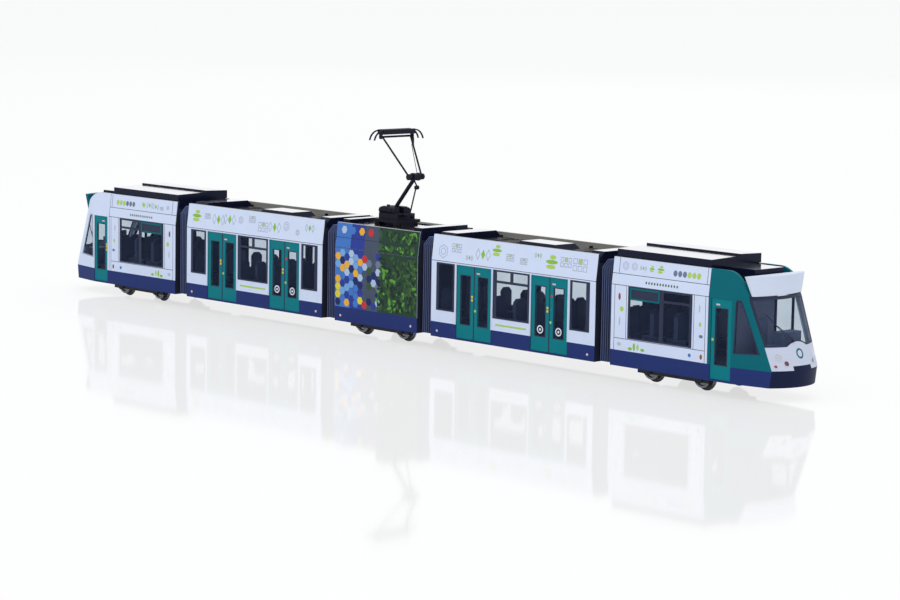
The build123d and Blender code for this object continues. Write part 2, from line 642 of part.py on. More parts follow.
def bogie_chassis(middle, start, end, pivots):
    """Chassis of a car on wheels: plate, axle-box frames, end drops and pivot tongues."""
    plate_half = SIDE_Y - WALL - CLIP
    with BuildPart() as chassis:
        with Locations(((start + end) / 2, 0, (BOGIE_PLATE_LOW + BOGIE_PLATE_TOP) / 2)):
            Box(end - start, 2 * plate_half, BOGIE_PLATE_TOP - BOGIE_PLATE_LOW)
        for y in (-FRAME_INNER - FRAME_THICK / 2, FRAME_INNER + FRAME_THICK / 2):
            with Locations((middle, y, (FRAME_LOW + BOGIE_PLATE_LOW) / 2)):
                Box(WHEELBASE + 2 * FRAME_OVERHANG, FRAME_THICK, BOGIE_PLATE_LOW - FRAME_LOW)
        for pivot in pivots:
            inward = 1 if pivot < middle else -1
            wall = (start if inward > 0 else end) + inward * DROP_THICK / 2
            with Locations((wall, 0, (TONGUE_LOW + BOGIE_PLATE_TOP) / 2)):
                Box(DROP_THICK, 4 * TONGUE_HALF, BOGIE_PLATE_TOP - TONGUE_LOW)
            with Locations(((pivot + wall) / 2, 0, (TONGUE_LOW + TONGUE_TOP) / 2)):
                Box(abs(wall - pivot), 2 * TONGUE_HALF, TONGUE_TOP - TONGUE_LOW)
            with Locations((pivot, 0, (TONGUE_LOW + TONGUE_TOP) / 2)):
                Cylinder(TONGUE_HALF, TONGUE_TOP - TONGUE_LOW)
            with Locations((pivot, 0, (TONGUE_LOW + PIN_TOP) / 2)):
                Cylinder(PIN_RADIUS, PIN_TOP - TONGUE_LOW)
        with Locations((middle - WHEELBASE / 2, 0, AXLE_Z), (middle + WHEELBASE / 2, 0, AXLE_Z)):
            Cylinder(AXLE_RADIUS + RUN, BODY_WIDTH, rotation=(90, 0, 0), mode=Mode.SUBTRACT)
    return chassis.part


def hung_floor(start, end, pivots):
    """Floor of a car carried between its neighbours, with a bored tongue at both ends."""
    plate_half = SIDE_Y - WALL - CLIP
    with BuildPart() as floor:
        with Locations(((start + end) / 2, 0, (FLOOR_LOW + FLOOR_TOP) / 2)):
            Box(end - start, 2 * plate_half, FLOOR_TOP - FLOOR_LOW)
        for pivot in pivots:
            edge = start if pivot < start else end
            with Locations(((pivot + edge) / 2, 0, (FLOOR_LOW + FLOOR_TOP) / 2)):
                Box(abs(edge - pivot), 2 * TONGUE_HALF, FLOOR_TOP - FLOOR_LOW)
            with Locations((pivot, 0, (FLOOR_LOW + FLOOR_TOP) / 2)):
                Cylinder(TONGUE_HALF, FLOOR_TOP - FLOOR_LOW)
                Cylinder(PIN_RADIUS + RUN, FLOOR_TOP - FLOOR_LOW, mode=Mode.SUBTRACT)
        with Locations(((start + end) / 2, 0, (SKIRT_Z + FLOOR_LOW) / 2)):
            Box(0.62 * (end - start), 1.3 * plate_half, FLOOR_LOW - SKIRT_Z)
    return floor.part


def bellows(pivot):
    """Pleated gangway ring with a floor plate that turns on the pivot pin."""
    start = pivot - BELLOWS_LENGTH / 2
    pitch = BELLOWS_LENGTH / PLEATS
    with BuildPart() as ring:
        for n in range(2 * PLEATS + 1):
            depth = PLEAT_DEPTH if n % 2 == 0 else 0.0
            half = BELLOWS_HALF - depth
            top = BELLOWS_TOP - depth
            with BuildSketch(Plane.YZ.offset(start + n * pitch / 2)):
                Polygon((-half, BELLOWS_LOW), (half, BELLOWS_LOW), (half, top - BELLOWS_CORNER),
                        (half - BELLOWS_CORNER, top), (BELLOWS_CORNER - half, top),
                        (-half, top - BELLOWS_CORNER), align=None)
        loft(ruled=True)
        with BuildSketch(Plane.YZ.offset(start)):
            with Locations((0, (BELLOWS_FLOOR_TOP + BELLOWS_INNER_TOP) / 2)):
                Rectangle(2 * BELLOWS_INNER_HALF, BELLOWS_INNER_TOP - BELLOWS_FLOOR_TOP)
            with Locations((0, (BELLOWS_LOW - 1 + BELLOWS_FLOOR_LOW) / 2)):
                Rectangle(2 * BELLOWS_INNER_HALF, BELLOWS_FLOOR_LOW - BELLOWS_LOW + 1)
        extrude(amount=BELLOWS_LENGTH, mode=Mode.SUBTRACT)
        with Locations((pivot, 0, (BELLOWS_FLOOR_LOW + BELLOWS_FLOOR_TOP) / 2)):
            Cylinder(PIN_RADIUS + RUN, 3, mode=Mode.SUBTRACT)
    return ring.part


def wheelset(x):
    """Axle with two flanged wheels turned as one piece."""
    inner = BACK_TO_BACK / 2
    with BuildPart() as axle:
        with BuildSketch(Plane.YZ.offset(x)):
            right = [(0, AXLE_RADIUS), (inner, AXLE_RADIUS), (inner, FLANGE_RADIUS - 0.3),
                     (inner + 0.3, FLANGE_RADIUS), (inner + FLANGE_THICK, TREAD_RADIUS + 0.05),
                     (inner + WHEEL_WIDTH, TREAD_RADIUS - 0.05), (inner + WHEEL_WIDTH, TREAD_RADIUS - 0.7),
                     (inner + WHEEL_WIDTH - 0.5, TREAD_RADIUS - 0.9), (inner + WHEEL_WIDTH - 0.5, AXLE_RADIUS),
                     (AXLE_HALF, AXLE_RADIUS), (AXLE_HALF, 0)]
            left = [(-y, r) for y, r in reversed(right[1:])]
            with Locations((0, AXLE_Z)):
                Polygon(*(right + left), align=None)
        revolve(axis=Axis((x, 0, AXLE_Z), (0, 1, 0)))
    return axle.part


def saloon_roof(start):
    """Sunk roof deck of a hung car with an equipment unit at each end and one in the middle."""
    deck_half = half_width(DECK_TOP, WALL) - CLIP
    with BuildPart() as roof:
        with Locations((start + SALOON_LENGTH / 2, 0, DECK_TOP - DECK_THICK / 2)):
            Box(SALOON_LENGTH, 2 * deck_half, DECK_THICK)
        for unit in (LEFT_UNIT, RIGHT_UNIT):
            with BuildSketch(Plane.YZ.offset(start + unit[0])):
                Polygon((-END_UNIT_HALF, DECK_TOP), (END_UNIT_HALF, DECK_TOP),
                        (END_UNIT_HALF, END_UNIT_TOP - END_UNIT_BEVEL),
                        (END_UNIT_HALF - END_UNIT_BEVEL, END_UNIT_TOP),
                        (END_UNIT_BEVEL - END_UNIT_HALF, END_UNIT_TOP),
                        (-END_UNIT_HALF, END_UNIT_TOP - END_UNIT_BEVEL), align=None)
            extrude(amount=unit[1] - unit[0])
        middle = start + MIDDLE_UNIT_PLACE
        with BuildSketch(Plane.XY.offset(DECK_TOP)):
            with Locations((middle, 0)):
                Rectangle(MIDDLE_UNIT_LENGTH, 2 * MIDDLE_UNIT_HALF)
        with BuildSketch(Plane.XY.offset(MIDDLE_UNIT_TOP)):
            with Locations((middle, 0)):
                Rectangle(MIDDLE_UNIT_LENGTH - 2 * MIDDLE_UNIT_BEVEL,
                          2 * (MIDDLE_UNIT_HALF - MIDDLE_UNIT_BEVEL))
        loft(ruled=True)
    return roof.part


# Centre car
with BuildPart() as centre_shell:
    add(hollow_body(-CENTRE_END, CENTRE_LENGTH))

with BuildPart() as centre_roof:
    deck_half = half_width(DECK_TOP, WALL) - CLIP
    with Locations((0, 0, DECK_TOP - DECK_THICK / 2)):
        Box(CENTRE_LENGTH, 2 * deck_half, DECK_THICK)
    with Locations((0, 0, (DECK_TOP + CENTRE_ROOF_TOP) / 2)):
        Box(CENTRE_LENGTH - 1.2, 2 * CENTRE_ROOF_HALF, CENTRE_ROOF_TOP - DECK_TOP)
    for box in (CENTRE_LEFT_BOX, CENTRE_RIGHT_BOX):
        with Locations((sum(box) / 2, 0, (CENTRE_ROOF_TOP + CENTRE_BOX_TOP) / 2)):
            Box(box[1] - box[0], 2 * CENTRE_ROOF_HALF, CENTRE_BOX_TOP - CENTRE_ROOF_TOP)

# Pantograph
upper_angle = atan2(HEAD_PIVOT[1] - KNEE[1], HEAD_PIVOT[0] - KNEE[0])
TAIL = (KNEE[0] - TAIL_LENGTH * cos(upper_angle), KNEE[1] - TAIL_LENGTH * sin(upper_angle))


def rod_between(first, last, radius):
    """Round rod between two points."""
    with BuildPart() as rod:
        start = Vector(*first)
        run = Vector(*last) - start
        with BuildSketch(Plane(origin=start, z_dir=run)):
            Circle(radius)
        extrude(amount=run.length)
    return rod.part


def cross_bar(place, low, high, radius):
    """Round bar across the tram between two Y values."""
    with BuildPart() as bar:
        with Locations((place[0], (low + high) / 2, place[1])):
            Cylinder(radius, high - low, rotation=(90, 0, 0))
    return bar.part


with BuildPart() as pantograph_base:
    with Locations(((BASE_START + BASE_END) / 2, 0, (BASE_LOW + BASE_TOP) / 2)):
        Box(BASE_END - BASE_START, 2 * BASE_HALF, BASE_TOP - BASE_LOW)
    with Locations(((BLOCK_START + BLOCK_END) / 2, 0, (BASE_TOP + BLOCK_TOP) / 2)):
        Box(BLOCK_END - BLOCK_START, 2 * BLOCK_HALF, BLOCK_TOP - BASE_TOP)
    for side in (NEAR, FAR):
        with Locations((ARM_FOOT[0], side * (CHEEK_INNER + CHEEK_OUTER) / 2, (BLOCK_TOP + CHEEK_TOP) / 2)):
            Box(BLOCK_END - BLOCK_START - 2.2, CHEEK_OUTER - CHEEK_INNER, CHEEK_TOP - BLOCK_TOP)
        with Locations((ARM_FOOT[0], side * CAN_Y, ARM_FOOT[1] - 0.25)):
            Cylinder(CAN_RADIUS, BLOCK_END - BLOCK_START - 2.2, rotation=(0, 90, 0))
        for x in (BASE_START + 1.5, BASE_END - 1.5):
            with Locations((x, side * (BASE_HALF - 1.2), (CENTRE_ROOF_TOP + BASE_LOW) / 2)):
                Cylinder(INSULATOR_RADIUS, BASE_LOW - CENTRE_ROOF_TOP)
    with Locations((BLOCK_START + 2.2, -CHEEK_INNER - 0.6, CHEEK_TOP + 0.3)):
        Cylinder(0.55, 0.6)
    lug_y = ROD_Y + ROD_THICK / 2 + RUN
    with Locations(((BLOCK_END + ROD_FOOT[0]) / 2, lug_y + 0.4, ROD_FOOT[1] - 0.3)):
        Box(ROD_FOOT[0] - BLOCK_END, 0.8, 1.0)
    add(cross_bar(ROD_FOOT, lug_y, lug_y + 0.8, 0.8))
    add(cross_bar(ROD_FOOT, ROD_Y - 0.35, lug_y + 0.4, PIVOT_PIN))
    add(cross_bar(ARM_FOOT, -CHEEK_OUTER - 2.5, CHEEK_OUTER + 2.5, PIVOT_PIN + RUN), mode=Mode.SUBTRACT)

with BuildPart() as pantograph_lower_arm:
    add(cross_bar(ARM_FOOT, RUN - CHEEK_INNER, CHEEK_INNER - RUN, ARM_SHOE))
    add(cross_bar(ARM_FOOT, -CHEEK_OUTER, CHEEK_OUTER, PIVOT_PIN))
    add(rod_between((ARM_FOOT[0], 0, ARM_FOOT[1]), (KNEE[0], 0, KNEE[1]), ARM_TUBE))
    add(cross_bar(KNEE, -EYE_HALF, EYE_HALF, EYE_RADIUS))
    add(cross_bar(KNEE, -EYE_HALF - 1, EYE_HALF + 1, PIVOT_PIN + RUN), mode=Mode.SUBTRACT)

with BuildPart() as pantograph_upper_arm:
    add(cross_bar(KNEE, -KNEE_HALF, KNEE_HALF, PIVOT_PIN))
    for side in (NEAR, FAR):
        ends = sorted((side * (EYE_HALF + RUN), side * NECK_START))
        add(cross_bar(KNEE, ends[0], ends[1], HOUSING_RADIUS))
        ends = sorted((side * NECK_START, side * NECK_END))
        add(cross_bar(KNEE, ends[0], ends[1], HOUSING_NECK))
        ends = sorted((side * NECK_END, side * KNEE_HALF))
        add(cross_bar(KNEE, ends[0], ends[1], HOUSING_CAP))
        add(rod_between((KNEE[0], side * KNEE_SPREAD, KNEE[1]),
                        (HEAD_PIVOT[0], side * UPPER_SPREAD, HEAD_PIVOT[1]),
                        UPPER_TUBE))
    add(cross_bar(HEAD_PIVOT, -HEAD_TUBE_HALF, HEAD_TUBE_HALF, HEAD_TUBE))
    add(rod_between((KNEE[0], TAIL_Y, KNEE[1]), (TAIL[0], TAIL_Y, TAIL[1]), TAIL_THICK / 2))
    add(cross_bar(TAIL, TAIL_Y - TAIL_THICK / 2, TAIL_Y + TAIL_THICK / 2, ROD_EYE))

with BuildPart() as pantograph_tie_rod:
    add(cross_bar(ROD_FOOT, ROD_Y - ROD_THICK / 2, ROD_Y + ROD_THICK / 2, ROD_EYE))
    add(cross_bar(TAIL, ROD_Y - ROD_THICK / 2, ROD_Y + ROD_THICK / 2, ROD_EYE))
    add(rod_between((ROD_FOOT[0], ROD_Y, ROD_FOOT[1]), (TAIL[0], ROD_Y, TAIL[1]), ROD_THICK / 2))
    add(cross_bar(ROD_FOOT, ROD_Y - 1, ROD_Y + 1, PIVOT_PIN + RUN), mode=Mode.SUBTRACT)

with BuildPart() as pantograph_head:
    top = STRIP_LOW + STRIP_THICK
    tip = STRIP_LOW - HORN_DROP
    root = STRIP_HALF - 0.2
    inner = HORN_REACH - HORN_THICK
    bend = STRIP_HALF + 0.62 * (HORN_REACH - STRIP_HALF)
    for x in (HEAD_PIVOT[0] - STRIP_SPACING / 2, HEAD_PIVOT[0] + STRIP_SPACING / 2):
        with Locations((x, 0, (STRIP_LOW + top) / 2)):
            Box(STRIP_WIDTH, 2 * STRIP_HALF, STRIP_THICK)
        for side in (NEAR, FAR):
            with BuildSketch(Plane.YZ.offset(x - HORN_THICK / 2)):
                with BuildLine():
                    ThreePointArc((side * root, top), (side * bend, top - 0.9), (side * HORN_REACH, tip))
                    Line((side * HORN_REACH, tip), (side * inner, tip))
                    ThreePointArc((side * inner, tip), (side * (bend - 0.15), top - 0.9 - HORN_THICK),
                                  (side * root, top - HORN_THICK))
                    Line((side * root, top - HORN_THICK), (side * root, top))
                make_face()
            extrude(amount=HORN_THICK)
    with Locations((HEAD_PIVOT[0], 0, (TRAY_LOW + STRIP_LOW) / 2)):
        Box(STRIP_SPACING + STRIP_WIDTH, 2 * STRIP_HALF, STRIP_LOW - TRAY_LOW)
    for side in (NEAR, FAR):
        with Locations((HEAD_PIVOT[0], side * HANGER_Y, (HEAD_PIVOT[1] + TRAY_LOW) / 2)):
            Box(1.4, HANGER_THICK, TRAY_LOW - HEAD_PIVOT[1])
        add(cross_bar(HEAD_PIVOT, side * HANGER_Y - HANGER_THICK / 2,
                      side * HANGER_Y + HANGER_THICK / 2, 0.75))
    with Locations((HEAD_PIVOT[0] + 0.5, HANGER_Y, HEAD_PIVOT[1] - 1.9)):
        Box(0.7, HANGER_THICK, 2.8)
    add(cross_bar(HEAD_PIVOT, -HEAD_TUBE_HALF - 1, HEAD_TUBE_HALF + 1, HEAD_TUBE + RUN), mode=Mode.SUBTRACT)

# Names and places of all pieces
clear_start = PORTAL + CLIP
nodes = {
    "cab_front_shell": cab_front_shell.part,
    "cab_front_glazing": cab_front_glazing.part,
    "cab_front_door": cab_front_door.part,
    "cab_front_lamps": cab_front_lamps.part,
    "cab_front_destination_box": cab_front_destination_box.part,
    "cab_front_seats": cab_front_seats.part,
    "cab_front_desk": cab_front_desk.part,
    "cab_front_roof": cab_front_roof.part,
    "cab_front_chassis": bogie_chassis(CAB_BOGIE_X, CAB_START + clear_start, TAPER_START, [OUTER_PIVOT])
    + cab_floor.part,
}
for name in list(nodes):
    nodes[name.replace("front", "rear")] = mirror(nodes[name], about=Plane.YZ)
nodes["cab_rear_desk"] = mirror(plain_desk.part, about=Plane.YZ)
for name, start in (("saloon_front", SALOON_START), ("saloon_rear", -SALOON_END)):
    nodes[f"{name}_shell"] = open_walls(hollow_body(start, SALOON_LENGTH),
                                        SALOON_WINDOWS, SALOON_DOORS, start)
    nodes[f"{name}_glazing"] = panes(SALOON_WINDOWS, SALOON_DOORS, start)
    nodes[f"{name}_doors"] = door_leaves(SALOON_DOORS, start)
    nodes[f"{name}_seats"] = seat_rows(SALOON_SEATS, start, SALOON_LENGTH, FLOOR_TOP)
    nodes[f"{name}_roof"] = saloon_roof(start)
    nodes[f"{name}_floor"] = hung_floor(start + clear_start, start + SALOON_LENGTH - clear_start,
                                        [start - GAP / 2, start + SALOON_LENGTH + GAP / 2])
nodes["centre_shell"] = centre_shell.part
nodes["centre_roof"] = centre_roof.part
nodes["centre_chassis"] = bogie_chassis(0, clear_start - CENTRE_END, CENTRE_END - clear_start,
                                        [-INNER_PIVOT, INNER_PIVOT])
for name, pivot in (("bellows_1", -OUTER_PIVOT), ("bellows_2", -INNER_PIVOT),
                    ("bellows_3", INNER_PIVOT), ("bellows_4", OUTER_PIVOT)):
    nodes[name] = bellows(pivot)
axle_places = [middle + offset for middle in (-CAB_BOGIE_X, 0, CAB_BOGIE_X)
               for offset in (-WHEELBASE / 2, WHEELBASE / 2)]
for number, x in enumerate(axle_places, start=1):
    nodes[f"wheelset_{number}"] = wheelset(x)
nodes["pantograph_base"] = pantograph_base.part
nodes["pantograph_lower_arm"] = pantograph_lower_arm.part
nodes["pantograph_upper_arm"] = pantograph_upper_arm.part
nodes["pantograph_tie_rod"] = pantograph_tie_rod.part
nodes["pantograph_head"] = pantograph_head.part

os.makedirs("parts", exist_ok=True)
for name, part in nodes.items():
    part.label = name
    export_step(part, f"parts/{name}.step")
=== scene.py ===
"""Looks of an articulated scale-model tram: paint, glass, frames, prints, roof gear and a white studio.

Lengths are millimetres in the tram's own frame unless a name says otherwise; meshes are written in metres.
"""

import json
import logging
from dataclasses import dataclass, field
from enum import Enum
from functools import reduce
from typing import ClassVar, Iterable, Sequence

import bmesh
import bpy
import numpy as np
from mathutils import Matrix

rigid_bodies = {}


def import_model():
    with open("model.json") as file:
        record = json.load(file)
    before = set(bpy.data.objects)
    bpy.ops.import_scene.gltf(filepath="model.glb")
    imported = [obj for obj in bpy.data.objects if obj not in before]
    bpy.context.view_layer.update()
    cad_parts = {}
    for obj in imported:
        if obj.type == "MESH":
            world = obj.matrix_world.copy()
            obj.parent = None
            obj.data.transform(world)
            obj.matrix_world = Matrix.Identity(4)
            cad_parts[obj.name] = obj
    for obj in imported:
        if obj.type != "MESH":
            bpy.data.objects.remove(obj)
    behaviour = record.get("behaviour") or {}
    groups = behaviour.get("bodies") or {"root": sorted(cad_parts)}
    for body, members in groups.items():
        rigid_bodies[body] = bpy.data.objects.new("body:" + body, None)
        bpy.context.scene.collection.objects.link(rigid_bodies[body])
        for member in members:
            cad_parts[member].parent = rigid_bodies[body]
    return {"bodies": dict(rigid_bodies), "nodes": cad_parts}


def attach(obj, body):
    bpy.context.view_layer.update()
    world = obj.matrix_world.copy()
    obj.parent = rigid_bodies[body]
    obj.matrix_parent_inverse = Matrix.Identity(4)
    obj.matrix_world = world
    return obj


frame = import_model()

LOG = logging.getLogger("tram")
MM = 0.001
Colour = tuple[float, float, float]


def srgb(red: int, green: int, blue: int) -> Colour:
    """Turns a display colour into linear light.

    Args:
        red: red, 0 to 255.
        green: green, 0 to 255.
        blue: blue, 0 to 255.

    Returns:
        The linear colour.
    """
    shade = np.array([red, green, blue]) / 255.0
    linear = np.where(shade <= 0.04045, shade / 12.92, ((shade + 0.055) / 1.055) ** 2.4)
    return tuple(float(value) for value in linear)


class Side(Enum):
    """Long sides of the tram: doors are on the near one."""

    NEAR = -1.0
    FAR = 1.0


class Ink(Enum):
    """Colours of the printed designs and small painted marks."""

    LEAF = srgb(140, 190, 70)
    GRASS = srgb(96, 160, 62)
    OLIVE = srgb(58, 88, 54)
    PINE = srgb(42, 68, 52)
    MOSS = srgb(64, 100, 58)
    NIGHT = srgb(34, 50, 46)
    NAVY = srgb(36, 46, 100)
    LIME = srgb(176, 206, 104)
    GREY = srgb(150, 158, 176)
    SILVER = srgb(186, 194, 208)
    SKY = srgb(120, 168, 220)
    AZURE = srgb(70, 120, 196)
    ROYAL = srgb(48, 66, 150)
    AMBER = srgb(236, 176, 50)
    RED = srgb(196, 58, 58)
    WHITE = srgb(228, 232, 244)
    YELLOW = srgb(224, 208, 60)
    BLUE = srgb(70, 110, 200)
    PINK = srgb(226, 196, 196)
    BROWN = srgb(150, 84, 48)
    SLATE = srgb(74, 84, 104)
    STEEL = srgb(112, 124, 150)
    MIST = srgb(176, 196, 222)


@dataclass(frozen=True)
class BodySection:
    """Outer form of the car bodies, as the pieces on the walls need it."""

    side_y: float = 13.2
    gutter_z: float = 29.6
    fascia_top: float = 38.1
    fascia_lean: float = 1.0
    band_z: float = 9.3
    taper_start: float = 157.5
    taper_slope: float = 0.18
    skin_depth: float = 0.1

    def on_wall(self, flat: np.ndarray, proud: float | np.ndarray, side: Side) -> np.ndarray:
        """Lifts wall drawings onto a side wall.

        y = side (side_y + proud - lean - taper); lean grows evenly from the gutter up, taper from the nose's
        start forward.

        Args:
            flat: drawing points (..., 2) as X and Z.
            proud: height over the wall's face.
            side: the wall drawn on.

        Returns:
            Points (..., 3).
        """
        x = flat[..., 0]
        z = flat[..., 1]
        rise = np.maximum(0.0, z - self.gutter_z) / (self.fascia_top - self.gutter_z)
        taper = self.taper_slope * np.maximum(0.0, np.abs(x) - self.taper_start)
        y = side.value * (self.side_y + proud - self.fascia_lean * rise - taper)
        return np.stack([x, y, z], axis=-1)


BODY = BodySection()

# Limits past the tram's ends, over its top and under its skirts, for zones that run on.
BEYOND = 400.0
ABOVE = 60.0
BELOW = -10.0
# Gap between a face and the thin trim or ink on it.
FACE_GAP = 0.002
# Middles of the bogies along the tram, and their axles' distance from there and height.
BOGIES = (-133.0, 0.0, 133.0)
AXLE_OFFSET = 10.35
AXLE_Z = 4.35
# What a car adds to its seed for the design on its far wall.
FAR_SEED = 50


@dataclass
class Surface:
    """Points, the faces over them and, for prints, an ink colour a face."""

    points: np.ndarray
    faces: list[list[int]]
    inks: list[Colour] = field(default_factory=list)

    def inked(self, ink: Ink) -> "Surface":
        """Gives all faces one ink and returns the surface itself."""
        self.inks = [ink.value] * len(self.faces)
        return self

    def mirrored_x(self) -> "Surface":
        """Copies the surface to the tram's other end, its faces turned round to stay outward."""
        return Surface(self.points * (-1.0, 1.0, 1.0), [face[::-1] for face in self.faces], list(self.inks))

    @staticmethod
    def joined(parts: Iterable["Surface"]) -> "Surface":
        """Joins surfaces into one.

        Args:
            parts: the surfaces.

        Returns:
            One surface with all their faces.
        """
        listed = list(parts)
        starts = np.cumsum([0] + [len(part.points) for part in listed])
        faces = [[int(start) + corner for corner in face]
                 for start, part in zip(starts, listed) for face in part.faces]
        inks = [ink for part in listed for ink in part.inks]
        return Surface(np.concatenate([part.points for part in listed]), faces, inks)


class Shape:
    """Surfaces made from whole arrays of points."""

    @staticmethod
    def grid(points: np.ndarray, wrap_u: bool, wrap_v: bool, caps: bool = False) -> Surface:
        """Quads over a grid: point (u, v) joins (u + 1, v), (u + 1, v + 1) and (u, v + 1).

        Args:
            points: grid points (U, V, 3).
            wrap_u: last row joins the first.
            wrap_v: last column joins the first.
            caps: first and last rows are closed by one face each.

        Returns:
            The surface.
        """
        rows, columns = points.shape[:2]
        u = np.arange(rows if wrap_u else rows - 1)[:, None]
        v = np.arange(columns if wrap_v else columns - 1)[None, :]
        below = (u + 1) % rows
        beside = (v + 1) % columns
        corners = [u * columns + v, below * columns + v, below * columns + beside, u * columns + beside]
        faces = np.stack(np.broadcast_arrays(*corners), axis=-1).reshape(-1, 4).tolist()
        if caps:
            faces.append(list(range(columns))[::-1])
            faces.append(list(range((rows - 1) * columns, rows * columns)))
        return Surface(points.reshape(-1, 3), faces)

    @staticmethod
    def tube(path: np.ndarray, radius: float, sides: int = 10, wrap: bool = False) -> Surface:
        """Round profile carried along a path: P(u, v) = path(u) + r (cos v N(u) + sin v B(u)).

        N and B are square to the path's direction, N also to the axis the path runs along least.

        Args:
            path: path points (U, 3).
            radius: profile radius.
            sides: points round the profile.
            wrap: the path closes on itself.

        Returns:
            The closed tube.
        """
        path = np.asarray(path, dtype=float)
        ahead = np.roll(path, -1, axis=0) - np.roll(path, 1, axis=0) if wrap else np.gradient(path, axis=0)
        along = ahead / np.linalg.norm(ahead, axis=1, keepdims=True)
        axis = np.eye(3)[np.argmin(np.abs(along).max(axis=0))]
        normal = np.cross(axis, along)
        normal /= np.linalg.norm(normal, axis=1, keepdims=True)
        binormal = np.cross(along, normal)
        turn = np.linspace(0, 2 * np.pi, sides, endpoint=False)[None, :, None]
        ring = np.cos(turn) * normal[:, None] + np.sin(turn) * binormal[:, None]
        return Shape.grid(path[:, None] + radius * ring, wrap, True, caps=not wrap)

    @staticmethod
    def turned(profile: Sequence[tuple[float, float]], centre: Sequence[float], axis: Sequence[float],
               sides: int = 24) -> Surface:
        """Turned form: P(u, v) = centre + h(u) axis + r(u) (cos v E + sin v F), E and F square to the axis.

        Args:
            profile: rows of radius and height, from foot to top, with no zero radius.
            centre: foot of the axis.
            axis: direction of the axis.
            sides: points round it.

        Returns:
            The closed form.
        """
        along = np.asarray(axis, dtype=float) / np.linalg.norm(axis)
        across = np.cross(along, np.eye(3)[np.argmin(np.abs(along))])
        across /= np.linalg.norm(across)
        beside = np.cross(along, across)
        turn = np.linspace(0, 2 * np.pi, sides, endpoint=False)[None, :, None]
        rows = np.asarray(profile, dtype=float)
        ring = np.cos(turn) * across + np.sin(turn) * beside
        points = np.asarray(centre, dtype=float) + rows[:, None, 1:2] * along + rows[:, None, 0:1] * ring
        return Shape.grid(points, False, True, caps=True)

    @staticmethod
    def boxes(table: Sequence[Sequence[float]]) -> Surface:
        """Boxes: each corner takes the low or high X, Y and Z that its three bits say.

        Args:
            table: rows of x low, x high, y low, y high, z low, z high.

        Returns:
            All boxes as one surface.
        """
        rows = np.asarray(table, dtype=float).reshape(-1, 3, 2)
        bits = np.array([[0, 0, 0], [1, 0, 0], [1, 1, 0], [0, 1, 0],
                         [0, 0, 1], [1, 0, 1], [1, 1, 1], [0, 1, 1]])
        points = rows[:, np.arange(3)[None, :], bits]
        sides = np.array([[3, 2, 1, 0], [4, 5, 6, 7], [0, 1, 5, 4],
                          [1, 2, 6, 5], [2, 3, 7, 6], [3, 0, 4, 7]])
        faces = (np.arange(len(rows))[:, None, None] * len(bits) + sides).reshape(-1, 4).tolist()
        return Surface(points.reshape(-1, 3), faces)

    @staticmethod
    def plate(outline: np.ndarray, low: float, high: float, side: Side) -> Surface:
        """Plate on a side wall: its outline at two heights over the wall, joined round the edge.

        Args:
            outline: corners (N, 2) as X and Z.
            low: foot over the wall's face.
            high: top over the wall's face.
            side: the wall.

        Returns:
            The closed plate.
        """
        flat = np.asarray(outline, dtype=float)
        rows = np.stack([BODY.on_wall(flat, low, side), BODY.on_wall(flat, high, side)])
        return Shape.grid(rows, False, True, caps=True)

    @staticmethod
    def oval(x: float, z: float, half_x: float, half_z: float, turn: float = 0.0,
             sides: int = 20) -> np.ndarray:
        """Outline of an oval: (x, z) + turned (half_x cos v, half_z sin v).

        Args:
            x: middle along the wall.
            z: middle height.
            half_x: half-width.
            half_z: half-height.
            turn: turn in degrees.
            sides: corners.

        Returns:
            Corners (N, 2).
        """
        v = np.linspace(0, 2 * np.pi, sides, endpoint=False)
        flat = np.stack([half_x * np.cos(v), half_z * np.sin(v)], axis=-1)
        c, s = np.cos(np.radians(turn)), np.sin(np.radians(turn))
        return flat @ np.array([[c, s], [-s, c]]) + (x, z)

    @staticmethod
    def span(x0: float, x1: float, z0: float, z1: float) -> np.ndarray:
        """Outline (4, 2) of an upright rectangle from its start, end, foot and top."""
        return np.array([[x0, z0], [x1, z0], [x1, z1], [x0, z1]], dtype=float)

    @staticmethod
    def span_from(origin: float, box: Sequence[float]) -> np.ndarray:
        """Outline of an upright rectangle: start and end from a car's inner end, foot and top."""
        x0, x1, z0, z1 = box
        return Shape.span(origin + x0, origin + x1, z0, z1)

    @staticmethod
    def border(outline: np.ndarray, width: float, low: float, high: float, side: Side) -> Surface:
        """Frame along the inside of a closed outline: a flat bar carried round it with mitred corners.

        Each corner moves in along its mitre by the bar's width over the cosine of half the turn.

        Args:
            outline: corners (N, 2), anticlockwise as X and Z.
            width: bar's width; a negative one lies outside the outline.
            low: foot over the wall's face.
            high: top over the wall's face.
            side: the wall.

        Returns:
            The closed frame.
        """
        inner = Shape.inset(outline, width)
        rows = [BODY.on_wall(flat, proud, side)
                for flat, proud in ((outline, low), (outline, high), (inner, high), (inner, low))]
        return Shape.grid(np.stack(rows, axis=1), True, True)

    @staticmethod
    def inset(outline: np.ndarray, width: float) -> np.ndarray:
        """Draws a closed outline in by a width.

        Args:
            outline: corners (N, 2), anticlockwise.
            width: how far.

        Returns:
            The moved corners.
        """
        flat = np.asarray(outline, dtype=float)
        ahead = np.roll(flat, -1, axis=0) - flat
        ahead /= np.linalg.norm(ahead, axis=1, keepdims=True)
        inward = np.stack([-ahead[:, 1], ahead[:, 0]], axis=-1)
        before = np.roll(inward, 1, axis=0)
        mitre = (inward + before) / (1.0 + np.sum(inward * before, axis=1, keepdims=True))
        return flat + width * mitre


